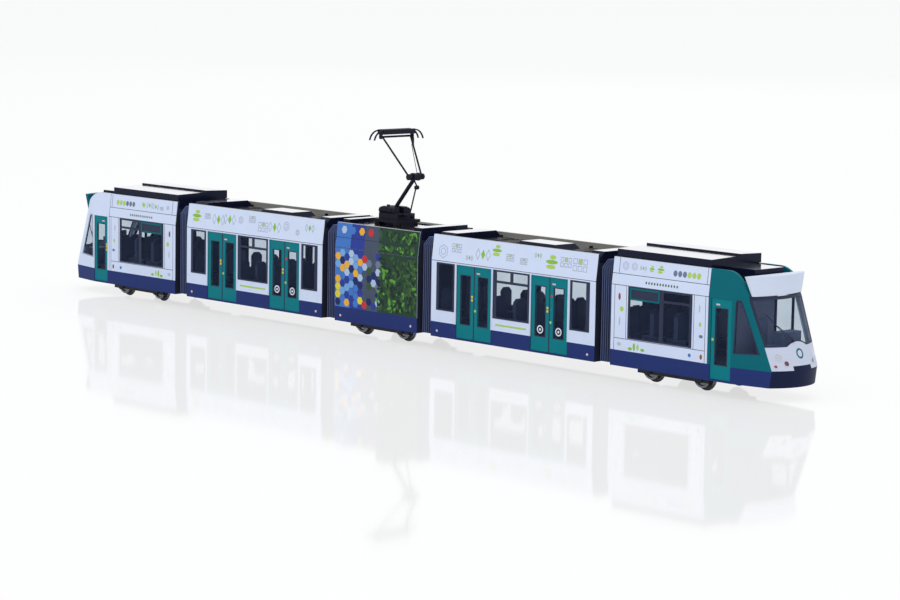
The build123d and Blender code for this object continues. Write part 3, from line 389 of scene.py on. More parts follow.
class NodeTree:
    """A shader tree with short calls to add and join its nodes."""

    def __init__(self, tree: bpy.types.NodeTree) -> None:
        """Holds the tree of a material, a group or the world."""
        self.tree = tree

    def feed(self, socket: bpy.types.NodeSocket, value: object) -> None:
        """Links another node's output to an input, or sets the input's own value.

        Args:
            socket: the input.
            value: a value or an output.
        """
        if isinstance(value, bpy.types.NodeSocket):
            self.tree.links.new(value, socket)
        else:
            socket.default_value = value

    def add(self, kind: str, settings: dict | None = None, **values: object) -> bpy.types.Node:
        """Adds a node.

        Args:
            kind: node type.
            settings: properties of the node.
            values: input name (_ for a space) or i and its number, to a value or another node's output.

        Returns:
            The node.
        """
        node = self.tree.nodes.new(kind)
        for name, value in (settings or {}).items():
            setattr(node, name, value)
        for name, value in values.items():
            key = int(name[1:]) if name[0] == "i" and name[1:].isdigit() else name.replace("_", " ")
            self.feed(node.inputs[key], value)
        return node

    def group(self, tree: bpy.types.NodeTree, **values: object) -> bpy.types.Node:
        """Adds a group of the given tree, with inputs as for add."""
        return self.add("ShaderNodeGroup", {"node_tree": tree}, **values)

    def math(self, operation: str, first: object, second: object = 0.0,
             third: object = 0.0) -> bpy.types.NodeSocket:
        """Adds a math node over up to three values or outputs, and gives its result."""
        return self.add("ShaderNodeMath", {"operation": operation}, i0=first, i1=second, i2=third).outputs[0]

    def mix(self, share: object, first: object, second: object) -> bpy.types.NodeSocket:
        """Mixes two colours (4 numbers or outputs) by the share of the second."""
        return self.add("ShaderNodeMix", {"data_type": "RGBA"}, i0=share, i6=first, i7=second).outputs[2]


class Groups:
    """Shader groups that several finishes share."""

    made: ClassVar[dict[str, bpy.types.NodeTree]] = {}

    @classmethod
    def start(cls, name: str, inputs: Sequence[tuple[str, str, float]], outputs: Sequence[tuple[str, str]]
              ) -> tuple[NodeTree, bpy.types.Node, bpy.types.Node]:
        """Starts a group with named sockets.

        Args:
            name: group's name.
            inputs: rows of name, kind (Float or Vector) and default.
            outputs: rows of name and kind.

        Returns:
            The tree, its input node and its output node.
        """
        tree = bpy.data.node_groups.new(name, "ShaderNodeTree")
        for label, kind, default in inputs:
            socket = tree.interface.new_socket(label, in_out="INPUT", socket_type=f"NodeSocket{kind}")
            if kind == "Float":
                socket.default_value = default
        for label, kind in outputs:
            tree.interface.new_socket(label, in_out="OUTPUT", socket_type=f"NodeSocket{kind}")
        cls.made[name] = tree
        holder = NodeTree(tree)
        return holder, tree.nodes.new("NodeGroupInput"), tree.nodes.new("NodeGroupOutput")

    @classmethod
    def grain(cls) -> bpy.types.NodeTree:
        """Moulded grain: fine noise for the bump, broad noise for tone and gloss.

        Returns:
            Group with Scale in, and Height, Tone and Gloss (both about 0) out.
        """
        if "moulded_grain" in cls.made:
            return cls.made["moulded_grain"]
        net, entry, leave = cls.start("moulded_grain", [("Scale", "Float", 4000.0)],
                                      [("Height", "Float"), ("Tone", "Float"), ("Gloss", "Float")])
        place = net.add("ShaderNodeTexCoord").outputs["Object"]
        fine = net.add("ShaderNodeTexNoise", Vector=place, Scale=entry.outputs[0], Detail=3.0, Roughness=0.6)
        broad = net.add("ShaderNodeTexNoise", Vector=place, Scale=140.0, Detail=4.0, Roughness=0.55)
        net.tree.links.new(fine.outputs[0], leave.inputs[0])
        net.tree.links.new(net.math("SUBTRACT", broad.outputs[0], 0.5), leave.inputs[1])
        net.tree.links.new(net.math("SUBTRACT", fine.outputs[0], 0.5), leave.inputs[2])
        return net.tree

    @classmethod
    def place(cls) -> bpy.types.NodeTree:
        """Place on the tram in millimetres, with the outer skin told from the moulding's inside.

        Skin is 1 where |y| + lean + taper reaches the wall's face.

        Returns:
            Group with X, Reach (|x|), Y, Z and Skin out.
        """
        if "tram_place" in cls.made:
            return cls.made["tram_place"]
        net, _, leave = cls.start("tram_place", [], [(n, "Float") for n in ("X", "Reach", "Y", "Z", "Skin")])
        object_place = net.add("ShaderNodeTexCoord").outputs["Object"]
        scaled = net.add("ShaderNodeVectorMath", {"operation": "SCALE"}, i0=object_place, Scale=1.0 / MM)
        xyz = net.add("ShaderNodeSeparateXYZ", Vector=scaled.outputs[0])
        reach = net.math("ABSOLUTE", xyz.outputs[0])
        slope = BODY.fascia_lean / (BODY.fascia_top - BODY.gutter_z)
        rise = net.math("MAXIMUM", net.math("SUBTRACT", xyz.outputs[2], BODY.gutter_z), 0.0)
        lean = net.math("MULTIPLY", rise, slope)
        ahead = net.math("MAXIMUM", net.math("SUBTRACT", reach, BODY.taper_start), 0.0)
        taper = net.math("MULTIPLY", ahead, BODY.taper_slope)
        width = net.math("ADD", net.math("ADD", net.math("ABSOLUTE", xyz.outputs[1]), lean), taper)
        skin = net.math("GREATER_THAN", width, BODY.side_y - BODY.skin_depth)
        for number, value in enumerate((xyz.outputs[0], reach, xyz.outputs[1], xyz.outputs[2], skin)):
            net.tree.links.new(value, leave.inputs[number])
        return net.tree

    @classmethod
    def band(cls) -> bpy.types.NodeTree:
        """Band mask: 1 where a value lies between two limits.

        Returns:
            Group with Value, Low and High in, and Mask out.
        """
        if "band_mask" in cls.made:
            return cls.made["band_mask"]
        net, entry, leave = cls.start(
            "band_mask", [("Value", "Float", 0.0), ("Low", "Float", 0.0), ("High", "Float", 1.0)],
            [("Mask", "Float")])
        above = net.math("GREATER_THAN", entry.outputs[0], entry.outputs[1])
        under = net.math("LESS_THAN", entry.outputs[0], entry.outputs[2])
        net.tree.links.new(net.math("MULTIPLY", above, under), leave.inputs[0])
        return net.tree

    @classmethod
    def within(cls, net: NodeTree, *limits: tuple[bpy.types.NodeSocket, float, float]
               ) -> bpy.types.NodeSocket:
        """Mask where values all lie between their limits: the product of their band masks.

        Args:
            net: the tree that takes the mask.
            limits: rows of value, low and high.

        Returns:
            The mask.
        """
        masks = [net.group(cls.band(), Value=value, Low=low, High=high).outputs[0]
                 for value, low, high in limits]
        return reduce(lambda first, second: net.math("MULTIPLY", first, second), masks)

    @classmethod
    def dust(cls) -> bpy.types.NodeTree:
        """Handling dust: a patchy mask, denser on faces that look up.

        Returns:
            Group with Amount in and Mask out.
        """
        if "handling_dust" in cls.made:
            return cls.made["handling_dust"]
        net, entry, leave = cls.start("handling_dust", [("Amount", "Float", 0.1)], [("Mask", "Float")])
        place = net.add("ShaderNodeTexCoord").outputs["Object"]
        patch = net.add("ShaderNodeTexNoise", Vector=place, Scale=320.0, Detail=5.0, Roughness=0.65)
        facing = net.add("ShaderNodeNewGeometry").outputs["Normal"]
        upward = net.math("MAXIMUM", net.add("ShaderNodeSeparateXYZ", Vector=facing).outputs[2], 0.15)
        spread = net.add("ShaderNodeMapRange", Value=patch.outputs[0], From_Min=0.42, From_Max=0.75)
        mask = net.math("MULTIPLY", net.math("MULTIPLY", spread.outputs[0], upward), entry.outputs[0])
        net.tree.links.new(mask, leave.inputs[0])
        return net.tree


@dataclass(frozen=True)
class Finish:
    """A plain moulded, painted or metal finish with grain, broad tone and a little dust."""

    name: str
    slot: str
    colour: Colour
    roughness: float = 0.45
    metallic: float = 0.0
    coat: float = 0.0
    grain_scale: float = 4000.0
    grain_depth: float = 0.02
    tone: float = 0.12
    dust: float = 0.08
    dust_colour: Colour = srgb(170, 168, 164)
    specular: float = 0.4
    coat_roughness: float = 0.25
    coat_ior: float = 1.5
    gloss: float = 0.12

    def material(self) -> bpy.types.Material:
        """Finds or makes the finish's material.

        Returns:
            The material.
        """
        found = bpy.data.materials.get(self.name)
        if found is not None and found.get("dressed"):
            return found
        made = bpy.data.materials.new(self.name)
        made["dressed"] = True
        made.use_nodes = True
        made.node_tree.nodes.clear()
        net = NodeTree(made.node_tree)
        out = net.add("ShaderNodeOutputMaterial")
        net.tree.links.new(self.surface(net), out.inputs["Surface"])
        return made

    def paint(self, net: NodeTree) -> object:
        """Base colour before tone and dust, a colour or an output."""
        return (*self.colour, 1.0)

    def surface(self, net: NodeTree) -> bpy.types.NodeSocket:
        """Principled surface of the finish.

        Args:
            net: the material's tree.

        Returns:
            The shader.
        """
        grain = net.group(Groups.grain(), Scale=self.grain_scale)
        dust = net.group(Groups.dust(), Amount=self.dust)
        shade = net.add("ShaderNodeHueSaturation", Color=self.paint(net),
                        Value=net.math("MULTIPLY_ADD", grain.outputs["Tone"], self.tone, 1.0))
        colour = net.mix(dust.outputs["Mask"], shade.outputs[0], (*self.dust_colour, 1.0))
        rough = net.math("MULTIPLY_ADD", grain.outputs["Gloss"], self.gloss, self.roughness)
        bump = net.add("ShaderNodeBump", Strength=0.5, Distance=self.grain_depth * MM,
                       Height=grain.outputs["Height"])
        shader = net.add("ShaderNodeBsdfPrincipled", Base_Color=colour, Roughness=rough,
                         Metallic=self.metallic, Normal=bump.outputs[0], Specular_IOR_Level=self.specular,
                         Coat_Weight=self.coat, Coat_Roughness=self.coat_roughness, Coat_IOR=self.coat_ior)
        return shader.outputs[0]


@dataclass(frozen=True)
class PrintFinish(Finish):
    """Printed colours, read from the piece's own ink attribute."""

    def paint(self, net: NodeTree) -> object:
        """Base colour from the ink attribute."""
        return net.add("ShaderNodeAttribute", {"attribute_name": "ink"}).outputs["Color"]


@dataclass(frozen=True)
class GlassFinish(Finish):
    """Clear window plastic: a light tint at each face, with gloss and a bluish painted reflection only on
    faces that look outward.
    """

    # Share and colour of the painted reflection: a bluish veil that lifts the dark panes.
    painted_reflection: float = 0.038
    painted_reflection_colour: Colour = (0.29, 0.41, 0.83)
    gloss_colour: Colour = (0.01, 0.01, 0.012)
    gloss_specular: float = 0.6
    ior: float = 1.45

    def surface(self, net: NodeTree) -> bpy.types.NodeSocket:
        """Thin tinted pane: a clear pass with a faint bluish painted reflection, laid on as a lit diffuse
        veil, and a gloss that grows at a grazing look.

        Args:
            net: the material's tree.

        Returns:
            The shader.
        """
        grain = net.group(Groups.grain(), Scale=self.grain_scale)
        tint = net.add("ShaderNodeHueSaturation", Color=(*self.colour, 1.0),
                       Value=net.math("MULTIPLY_ADD", grain.outputs["Tone"], self.tone, 1.0))
        clear = net.add("ShaderNodeBsdfTransparent", Color=tint.outputs[0])
        gloss = net.add("ShaderNodeBsdfPrincipled", Base_Color=(*self.gloss_colour, 1.0),
                        Roughness=self.roughness, Specular_IOR_Level=self.gloss_specular)
        edge = net.add("ShaderNodeFresnel", IOR=self.ior)
        outward = net.math("SUBTRACT", 1.0, net.add("ShaderNodeNewGeometry").outputs["Backfacing"])
        seen = net.math("SUBTRACT", 1.0, net.add("ShaderNodeLightPath").outputs["Is Shadow Ray"])
        near = net.math("MULTIPLY", outward, seen)
        # Painted reflection: a bluish diffuse veil on the outward faces stands in for the bright studio
        # reflected in the panes.
        reflection_veil = net.add("ShaderNodeBsdfDiffuse", Color=(*self.painted_reflection_colour, 1.0))
        pane = net.add("ShaderNodeMixShader", i0=net.math("MULTIPLY", near, self.painted_reflection), i1=clear.outputs[0],
                       i2=reflection_veil.outputs[0])
        share = net.math("MULTIPLY", net.math("MULTIPLY", edge.outputs[0], self.gloss), near)
        return net.add("ShaderNodeMixShader", i0=share, i1=pane.outputs[0], i2=gloss.outputs[0]).outputs[0]


@dataclass(frozen=True)
class Zone:
    """A painted zone: limits along the tram (from its middle), across it and up, with a colour."""

    reach: tuple[float, float]
    across: tuple[float, float]
    height: tuple[float, float]
    colour: Colour


@dataclass(frozen=True)
class Rule:
    """A thin panel line: where it lies, and the limits it runs between the other way."""

    place: float
    low: float
    high: float


@dataclass(frozen=True)
class BodyPaint(Finish):
    """Painted car body: white sides, blue skirt, zones, thin panel lines, and the moulding's inside and car
    ends dark with painted shade.
    """

    band_colour: Colour = srgb(36, 52, 112)
    # Dark painted shade for the car ends in the gaps and for the moulding's inner walls.
    inside_shade_colour: Colour = srgb(40, 44, 60)
    fascia_back: Colour = srgb(160, 158, 150)
    fascia_back_z: float = 34.5
    ends: tuple[float, float] = (0.0, BEYOND)
    line_colour: Colour = srgb(46, 52, 74)
    line_half: float = 0.09
    fin_colour: Colour | None = None
    fin_start: float = 148.4
    zones: tuple[Zone, ...] = ()
    uprights: tuple[Rule, ...] = ()
    levels: tuple[Rule, ...] = ()
    nose_start: float = BEYOND
    nose_colour: Colour = srgb(200, 207, 226)
    bumper_colour: Colour = srgb(22, 30, 62)
    bumper_top: float = 9.5
    notch_half: float = 4.0
    notch_top: float = 10.75
    arch_z: float = 16.3
    arch_half: float = 4.4
    arch_rise: float = 1.35
    pillar_colour: Colour = srgb(205, 214, 230)
    pillar_start: float = 157.0
    inward_limit: float = 5.0

    def paint(self, net: NodeTree) -> object:
        """Lays the colours over each other by the place on the tram.

        Args:
            net: the material's tree.

        Returns:
            The colour output.
        """
        place = net.group(Groups.place())
        colour = net.mix(place.outputs["Skin"], self.inner_paint(net, place), self.outer_paint(net, place))
        if self.nose_start < BEYOND:
            colour = self.nose_paint(net, place, colour)
        return colour

    def outer_paint(self, net: NodeTree, place: bpy.types.Node) -> bpy.types.NodeSocket:
        """Outer skin: base colour, zones, panel lines and the band along the skirt.

        Args:
            net: the material's tree.
            place: node of the place group.

        Returns:
            The colour output.
        """
        reach, across, height = (place.outputs[name] for name in ("Reach", "Y", "Z"))
        colour: object = (*self.colour, 1.0)
        for zone in self.zones:
            mask = Groups.within(net, (reach, *zone.reach), (height, *zone.height), (across, *zone.across))
            colour = net.mix(mask, colour, (*zone.colour, 1.0))
        lines: object = 0.0
        for rules, value, other in ((self.levels, height, reach), (self.uprights, reach, height)):
            for rule in rules:
                width = (value, rule.place - self.line_half, rule.place + self.line_half)
                mark = Groups.within(net, width, (other, rule.low, rule.high))
                lines = net.math("MAXIMUM", lines, mark)
        colour = net.mix(lines, colour, (*self.line_colour, 1.0))
        band = Groups.within(net, (height, BELOW, BODY.band_z))
        return net.mix(band, colour, (*self.band_colour, 1.0))

    def inner_paint(self, net: NodeTree, place: bpy.types.Node) -> bpy.types.NodeSocket:
        """Inside of the moulding and the car ends: a dark painted shade, with the fascia's back paler, and a
        cab car's fin in its colour.

        Args:
            net: the material's tree.
            place: node of the place group.

        Returns:
            The colour output.
        """
        reach, height = (place.outputs[name] for name in ("Reach", "Z"))
        # The fascia's back is paler only between the car ends, so the ends keep the dark painted shade.
        upper = Groups.within(net, (height, self.fascia_back_z, ABOVE), (reach, *self.ends))
        colour = net.mix(upper, (*self.inside_shade_colour, 1.0), (*self.fascia_back, 1.0))
        if self.fin_colour is None:
            return colour
        fin = Groups.within(net, (reach, self.fin_start, BEYOND), (height, BODY.gutter_z, ABOVE))
        return net.mix(fin, colour, (*self.fin_colour, 1.0))

    def nose_paint(self, net: NodeTree, place: bpy.types.Node, colour: bpy.types.NodeSocket
                   ) -> bpy.types.NodeSocket:
        """Nose: pale face, notched dark bumper, dark screen surround, pillars pale where they look inward.

        The surround starts at z = arch_z + arch_rise max(0, 1 - (y / arch_half)^2).

        Args:
            net: the material's tree.
            place: node of the place group.
            colour: colour of the rest of the body.

        Returns:
            The colour output.
        """
        reach, across, height, skin = (place.outputs[name] for name in ("Reach", "Y", "Z", "Skin"))
        notch = Groups.within(net, (across, -self.notch_half, self.notch_half), (height, 0.0, self.notch_top))
        low = net.math("MAXIMUM", Groups.within(net, (height, BELOW, self.bumper_top)), notch)
        face = net.mix(low, (*self.nose_colour, 1.0), (*self.bumper_colour, 1.0))
        share = net.math("DIVIDE", across, self.arch_half)
        swell = net.math("MAXIMUM", net.math("SUBTRACT", 1.0, net.math("MULTIPLY", share, share)), 0.0)
        crest = net.math("MULTIPLY_ADD", swell, self.arch_rise, self.arch_z)
        face = net.mix(net.math("GREATER_THAN", height, crest), face, (*self.line_colour, 1.0))
        ahead = Groups.within(net, (reach, self.nose_start, BEYOND))
        front = net.math("MULTIPLY", ahead, net.math("SUBTRACT", 1.0, skin))
        colour = net.mix(front, colour, face)
        look = net.add("ShaderNodeSeparateXYZ", Vector=net.add("ShaderNodeTexCoord").outputs["Normal"])
        inward = net.math("LESS_THAN", net.math("MULTIPLY", look.outputs[1], across), -self.inward_limit)
        sides = Groups.within(net, (reach, self.pillar_start, BEYOND), (height, 0.0, BODY.gutter_z))
        return net.mix(net.math("MULTIPLY", sides, inward), colour, (*self.pillar_colour, 1.0))


@dataclass(frozen=True)
class DeskFinish(Finish):
    """Cab insert: dark mouldings, with a paler wall behind the driver."""

    wall: Colour = srgb(122, 124, 148)
    wall_end: float = 155.85

    def paint(self, net: NodeTree) -> object:
        """Tells the wall from the rest by its place along the tram.

        Args:
            net: the material's tree.

        Returns:
            The colour output.
        """
        reach = net.group(Groups.place()).outputs["Reach"]
        wall = Groups.within(net, (reach, 0.0, self.wall_end))
        return net.mix(wall, (*self.colour, 1.0), (*self.wall, 1.0))


@dataclass(frozen=True)
class LampFinish(Finish):
    """Lamp lenses: each one's colour from its distance from the middle."""

    inner: Colour = srgb(96, 40, 34)
    outer: Colour = srgb(150, 40, 40)
    inner_end: float = 6.8
    outer_start: float = 8.95

    def paint(self, net: NodeTree) -> object:
        """Brown inner, clear middle and red outer lenses.

        Args:
            net: the material's tree.

        Returns:
            The colour output.
        """
        off = net.math("ABSOLUTE", net.group(Groups.place()).outputs["Y"])
        inner = Groups.within(net, (off, 0.0, self.inner_end))
        outer = Groups.within(net, (off, self.outer_start, BEYOND))
        colour = net.mix(inner, (*self.colour, 1.0), (*self.inner, 1.0))
        return net.mix(outer, colour, (*self.outer, 1.0))


@dataclass(frozen=True)
class RibLightFinish(Finish):
    """Pleated or louvred finish with painted light along the tram: highlights on the rib crests, shade in the
    folds between.
    """

    pitch: float = 0.8
    centres: tuple[float, float] = (0.0, 0.0)
    fold_shade: float = 0.35
    crest_highlight_power: float = 1.0

    def paint(self, net: NodeTree) -> object:
        """Paints highlights on the crests and shade in the folds: share = max(0, cos(2 pi (|x| - nearer
        centre) / pitch))^crest_highlight_power.

        Args:
            net: the material's tree.

        Returns:
            The colour output.
        """
        reach = net.group(Groups.place()).outputs["Reach"]
        inner, outer = self.centres
        beyond = net.math("GREATER_THAN", reach, (inner + outer) / 2)
        centre = net.math("MULTIPLY_ADD", beyond, outer - inner, inner)
        off = net.math("SUBTRACT", reach, centre)
        wave = net.math("COSINE", net.math("MULTIPLY", off, 2 * np.pi / self.pitch))
        share = net.math("POWER", net.math("MAXIMUM", wave, 0.0), self.crest_highlight_power)
        # Folds take a darkened copy of the colour as painted shade; crests keep the full colour as a painted
        # highlight.
        dark = tuple(self.fold_shade * value for value in self.colour)
        return net.mix(share, (*dark, 1.0), (*self.colour, 1.0))


@dataclass(frozen=True)
class RoofFinish(Finish):
    """Dark satin roof plastic that mirrors the room at a grazing look."""

    sheen: float = 0.9
    sheen_start: float = 0.62
    sheen_full: float = 0.88
    mirror_colour: Colour = (0.96, 0.97, 1.0)
    mirror_roughness: float = 0.12

    def surface(self, net: NodeTree) -> bpy.types.NodeSocket:
        """Dark plastic, with a mirror share that grows as the look gets flatter.

        Args:
            net: the material's tree.

        Returns:
            The shader.
        """
        facing = net.add("ShaderNodeLayerWeight", Blend=0.5).outputs["Facing"]
        share = net.add("ShaderNodeMapRange", {"interpolation_type": "SMOOTHSTEP"}, Value=facing,
                        From_Min=self.sheen_start, From_Max=self.sheen_full, To_Max=self.sheen)
        mirror = net.add("ShaderNodeBsdfGlossy", Color=(*self.mirror_colour, 1.0),
                         Roughness=self.mirror_roughness)
        return net.add("ShaderNodeMixShader", i0=share.outputs[0], i1=Finish.surface(self, net),
                       i2=mirror.outputs[0]).outputs[0]


TEAL = srgb(0, 102, 114)
DOOR_TEAL = srgb(0, 122, 132)
WHITE = srgb(214, 225, 249)
FIN_BACK = srgb(190, 198, 214)
# Panel lines of the cab cars: heights, then places along the tram from its middle.
SILL_Z = 13.0
CORNICE_Z = 33.1
CAB_START = 100.0
PANEL_ENDS = (110.0, 147.2)
WHITE_END = 148.35
CAB_UPRIGHTS = (
    Rule(111.2, CORNICE_Z, BODY.fascia_top), Rule(PANEL_ENDS[1], CORNICE_Z, BODY.fascia_top),
    Rule(PANEL_ENDS[0], BODY.band_z, BODY.gutter_z), Rule(114.9, SILL_Z, BODY.gutter_z),
    Rule(142.6, SILL_Z, BODY.gutter_z), Rule(PANEL_ENDS[1], BODY.band_z, BODY.gutter_z),
    Rule(WHITE_END, BODY.band_z, BODY.fascia_top))
CAB_LEVELS = (Rule(CORNICE_Z, CAB_START, WHITE_END), Rule(BODY.gutter_z, CAB_START, WHITE_END),
              Rule(SILL_Z, *PANEL_ENDS))


class Finishes:
    """All finishes of the tram."""

    satin = dict(roughness=0.5, specular=0.1, dust=0.02, tone=0.08)
    shine = dict(roughness=0.2, specular=0.12, gloss=0.05, grain_depth=0.003, dust=0.0)
    cab = dict(**satin, ends=(108.65, BEYOND), uprights=CAB_UPRIGHTS, levels=CAB_LEVELS, nose_start=163.0)
    saloon = BodyPaint("saloon_paint", "body_plastic", WHITE, **satin, ends=(27.45, 101.75),
                       levels=(Rule(BODY.gutter_z, 0.0, BEYOND),))
    centre = BodyPaint("centre_paint", "body_plastic", WHITE, **satin, ends=(-1.0, 20.55),
                       levels=(Rule(BODY.gutter_z, 0.0, BEYOND), Rule(33.12, 0.0, BEYOND)))
    cab_front = BodyPaint(
        "cab_front_paint", "body_plastic", WHITE, **cab, fin_colour=TEAL,
        zones=(Zone((BodyPaint.fin_start, BEYOND), (-BEYOND, BEYOND), (BODY.band_z, ABOVE), TEAL),))
    cab_rear = BodyPaint(
        "cab_rear_paint", "body_plastic", WHITE, **cab, fin_colour=FIN_BACK,
        zones=(Zone((BodyPaint.fin_start, BEYOND), (0.0, BEYOND), (BODY.band_z, ABOVE), TEAL),))
    white = Finish("white_moulding", "body_plastic", srgb(212, 221, 240), 0.5, specular=0.1, dust=0.02)
    door = Finish("teal_door", "teal_plastic", DOOR_TEAL, 0.5, specular=0.1, dust=0.01)
    teal = Finish("teal_moulding", "teal_plastic", TEAL, 0.5, specular=0.1, dust=0.01)
    frame = Finish("dark_frame", "roof_plastic", srgb(46, 52, 76), 0.5, specular=0.15, dust=0.02)
    pale_rim = Finish("pale_rim", "body_plastic", srgb(150, 157, 178), 0.5, specular=0.1, dust=0.02)
    roof = RoofFinish("roof_moulding", "roof_plastic", srgb(16, 22, 46), **shine)
    # Louvres and bellows: painted highlights on the rib crests and painted shade in the grooves and folds.
    louvre = RibLightFinish("roof_louvre", "roof_plastic", srgb(18, 24, 46), pitch=0.6, **shine)
    bellows = RibLightFinish("bellows_skin", "bellows_rubber", srgb(104, 118, 166), 0.6, pitch=0.9,
                        centres=(24.0, 105.2), fold_shade=0.16, crest_highlight_power=3.0, specular=0.15, dust=0.01)
    seats = Finish("seat_moulding", "interior_plastic", srgb(44, 52, 76), 0.5, specular=0.15,
                   grain_depth=0.04, dust=0.01)
    desk = DeskFinish("desk_moulding", "interior_plastic", srgb(96, 104, 128), 0.5, specular=0.15, dust=0.01)
    metal = Finish("black_chassis", "chassis_metal", srgb(30, 31, 36), 0.55, metallic=0.3, dust=0.15)
    wheel = Finish("turned_wheel", "wheel_metal", srgb(120, 120, 124), 0.35, metallic=1.0, grain_scale=9000.0)
    pantograph = Finish("pantograph_paint", "pantograph_metal", srgb(26, 26, 42), 0.45, specular=0.12,
                        dust=0.02)
    copper = Finish("contact_strip", "pantograph_metal", srgb(70, 64, 66), 0.5, metallic=0.7)
    brown = Finish("insulator_glaze", "roof_plastic", srgb(30, 26, 34), 0.35, specular=0.2)
    ink = PrintFinish("printed_ink", "body_plastic", WHITE, 0.5, specular=0.1, dust=0.01, tone=0.15)
    lamp = LampFinish("lamp_lens", "lamp_lens", srgb(190, 193, 204), 0.15, coat=0.8, dust=0.0)
    steel = Finish("spring_steel", "pantograph_metal", srgb(40, 40, 54), 0.35, metallic=0.6, dust=0.02)
    glass = GlassFinish("window_plastic", "window_glass", srgb(237, 241, 244), 0.08, gloss=0.5)


def show(name: str, body: str, surface: Surface, finish: Finish, smooth: bool = False) -> bpy.types.Object:
    """Makes a piece, turns its faces outward, paints it and lets it ride on a body.

    Args:
        name: piece's name.
        body: the CAD body it moves with.
        surface: its form.
        finish: its finish.
        smooth: shade it smoothly.

    Returns:
        The object.
    """
    mesh = bpy.data.meshes.new(name)
    mesh.from_pydata((surface.points * MM).tolist(), [], surface.faces)
    if surface.inks:
        counts = [len(face) for face in surface.faces]
        colours = np.repeat(np.array([(*ink, 1.0) for ink in surface.inks]), counts, axis=0)
        mesh.color_attributes.new("ink", "FLOAT_COLOR", "CORNER").data.foreach_set("color", colours.ravel())
    shell = bmesh.new()
    shell.from_mesh(mesh)
    bmesh.ops.recalc_face_normals(shell, faces=shell.faces)
    shell.to_mesh(mesh)
    shell.free()
    mesh.polygons.foreach_set("use_smooth", np.full(len(mesh.polygons), smooth))
    mesh.materials.append(finish.material())
    thing = bpy.data.objects.new(name, mesh)
    bpy.context.scene.collection.objects.link(thing)
    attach(thing, body)
    LOG.info("%s: %d faces on %s", name, len(mesh.polygons), body)
    return thing


def dress(finishes: dict[str, Finish], prefix: str = "") -> None:
    """Gives CAD pieces their finishes.

    Args:
        finishes: each node's name, without the prefix, and its finish.
        prefix: start of the nodes' names.
    """
    for node, finish in finishes.items():
        mesh = frame["nodes"][prefix + node].data
        mesh.materials.clear()
        mesh.materials.append(finish.material())


@dataclass(frozen=True)
class Window:
    """A window opening on a side wall, with its bars.

    Mullions are rows of start, end, foot and top, transoms of start, end and foot.
    """

    side: Side
    start: float
    end: float
    low: float
    high: float
    rims: tuple[float, float]
    mullions: tuple[tuple[float, float, float, float], ...] = ()
    transoms: tuple[tuple[float, float, float], ...] = ()
    transom_height: float = 0.8
    gap: float = 0.01
    bar: float = 0.55
    lap: float = 0.5
    step: float = 0.01
    proud: float = 0.05
    seat: float = -0.115

    def bars(self, origin: float) -> Surface:
        """Dark frame of the window with its mullions and transoms, each a step lower than the last.

        Args:
            origin: the car's inner end.

        Returns:
            The bars.
        """
        x0, x1 = origin + self.start + self.gap, origin + self.end - self.gap
        z0, z1 = self.low + self.gap, self.high - self.gap
        parts = [Shape.border(Shape.span(x0, x1, z0, z1), self.bar, self.seat, self.proud, self.side)]
        left, right = self.rims
        foot, top = z0 + self.lap, z1 - self.lap
        spans = [(x0 + self.lap, x0 + left, foot, top), (x1 - right, x1 - self.lap, foot, top)]
        outlines = [Shape.span(*span) for span in spans if span[1] > span[0]]
        outlines += [Shape.span_from(origin, mullion) for mullion in self.mullions]
        parts += [Shape.plate(outline, self.seat, self.proud - self.step, self.side) for outline in outlines]
        for start, end, z in self.transoms:
            outline = Shape.span_from(origin, (start, end, z, z + self.transom_height))
            parts.append(Shape.plate(outline, self.seat, self.proud - 2 * self.step, self.side))
        return Surface.joined(parts)


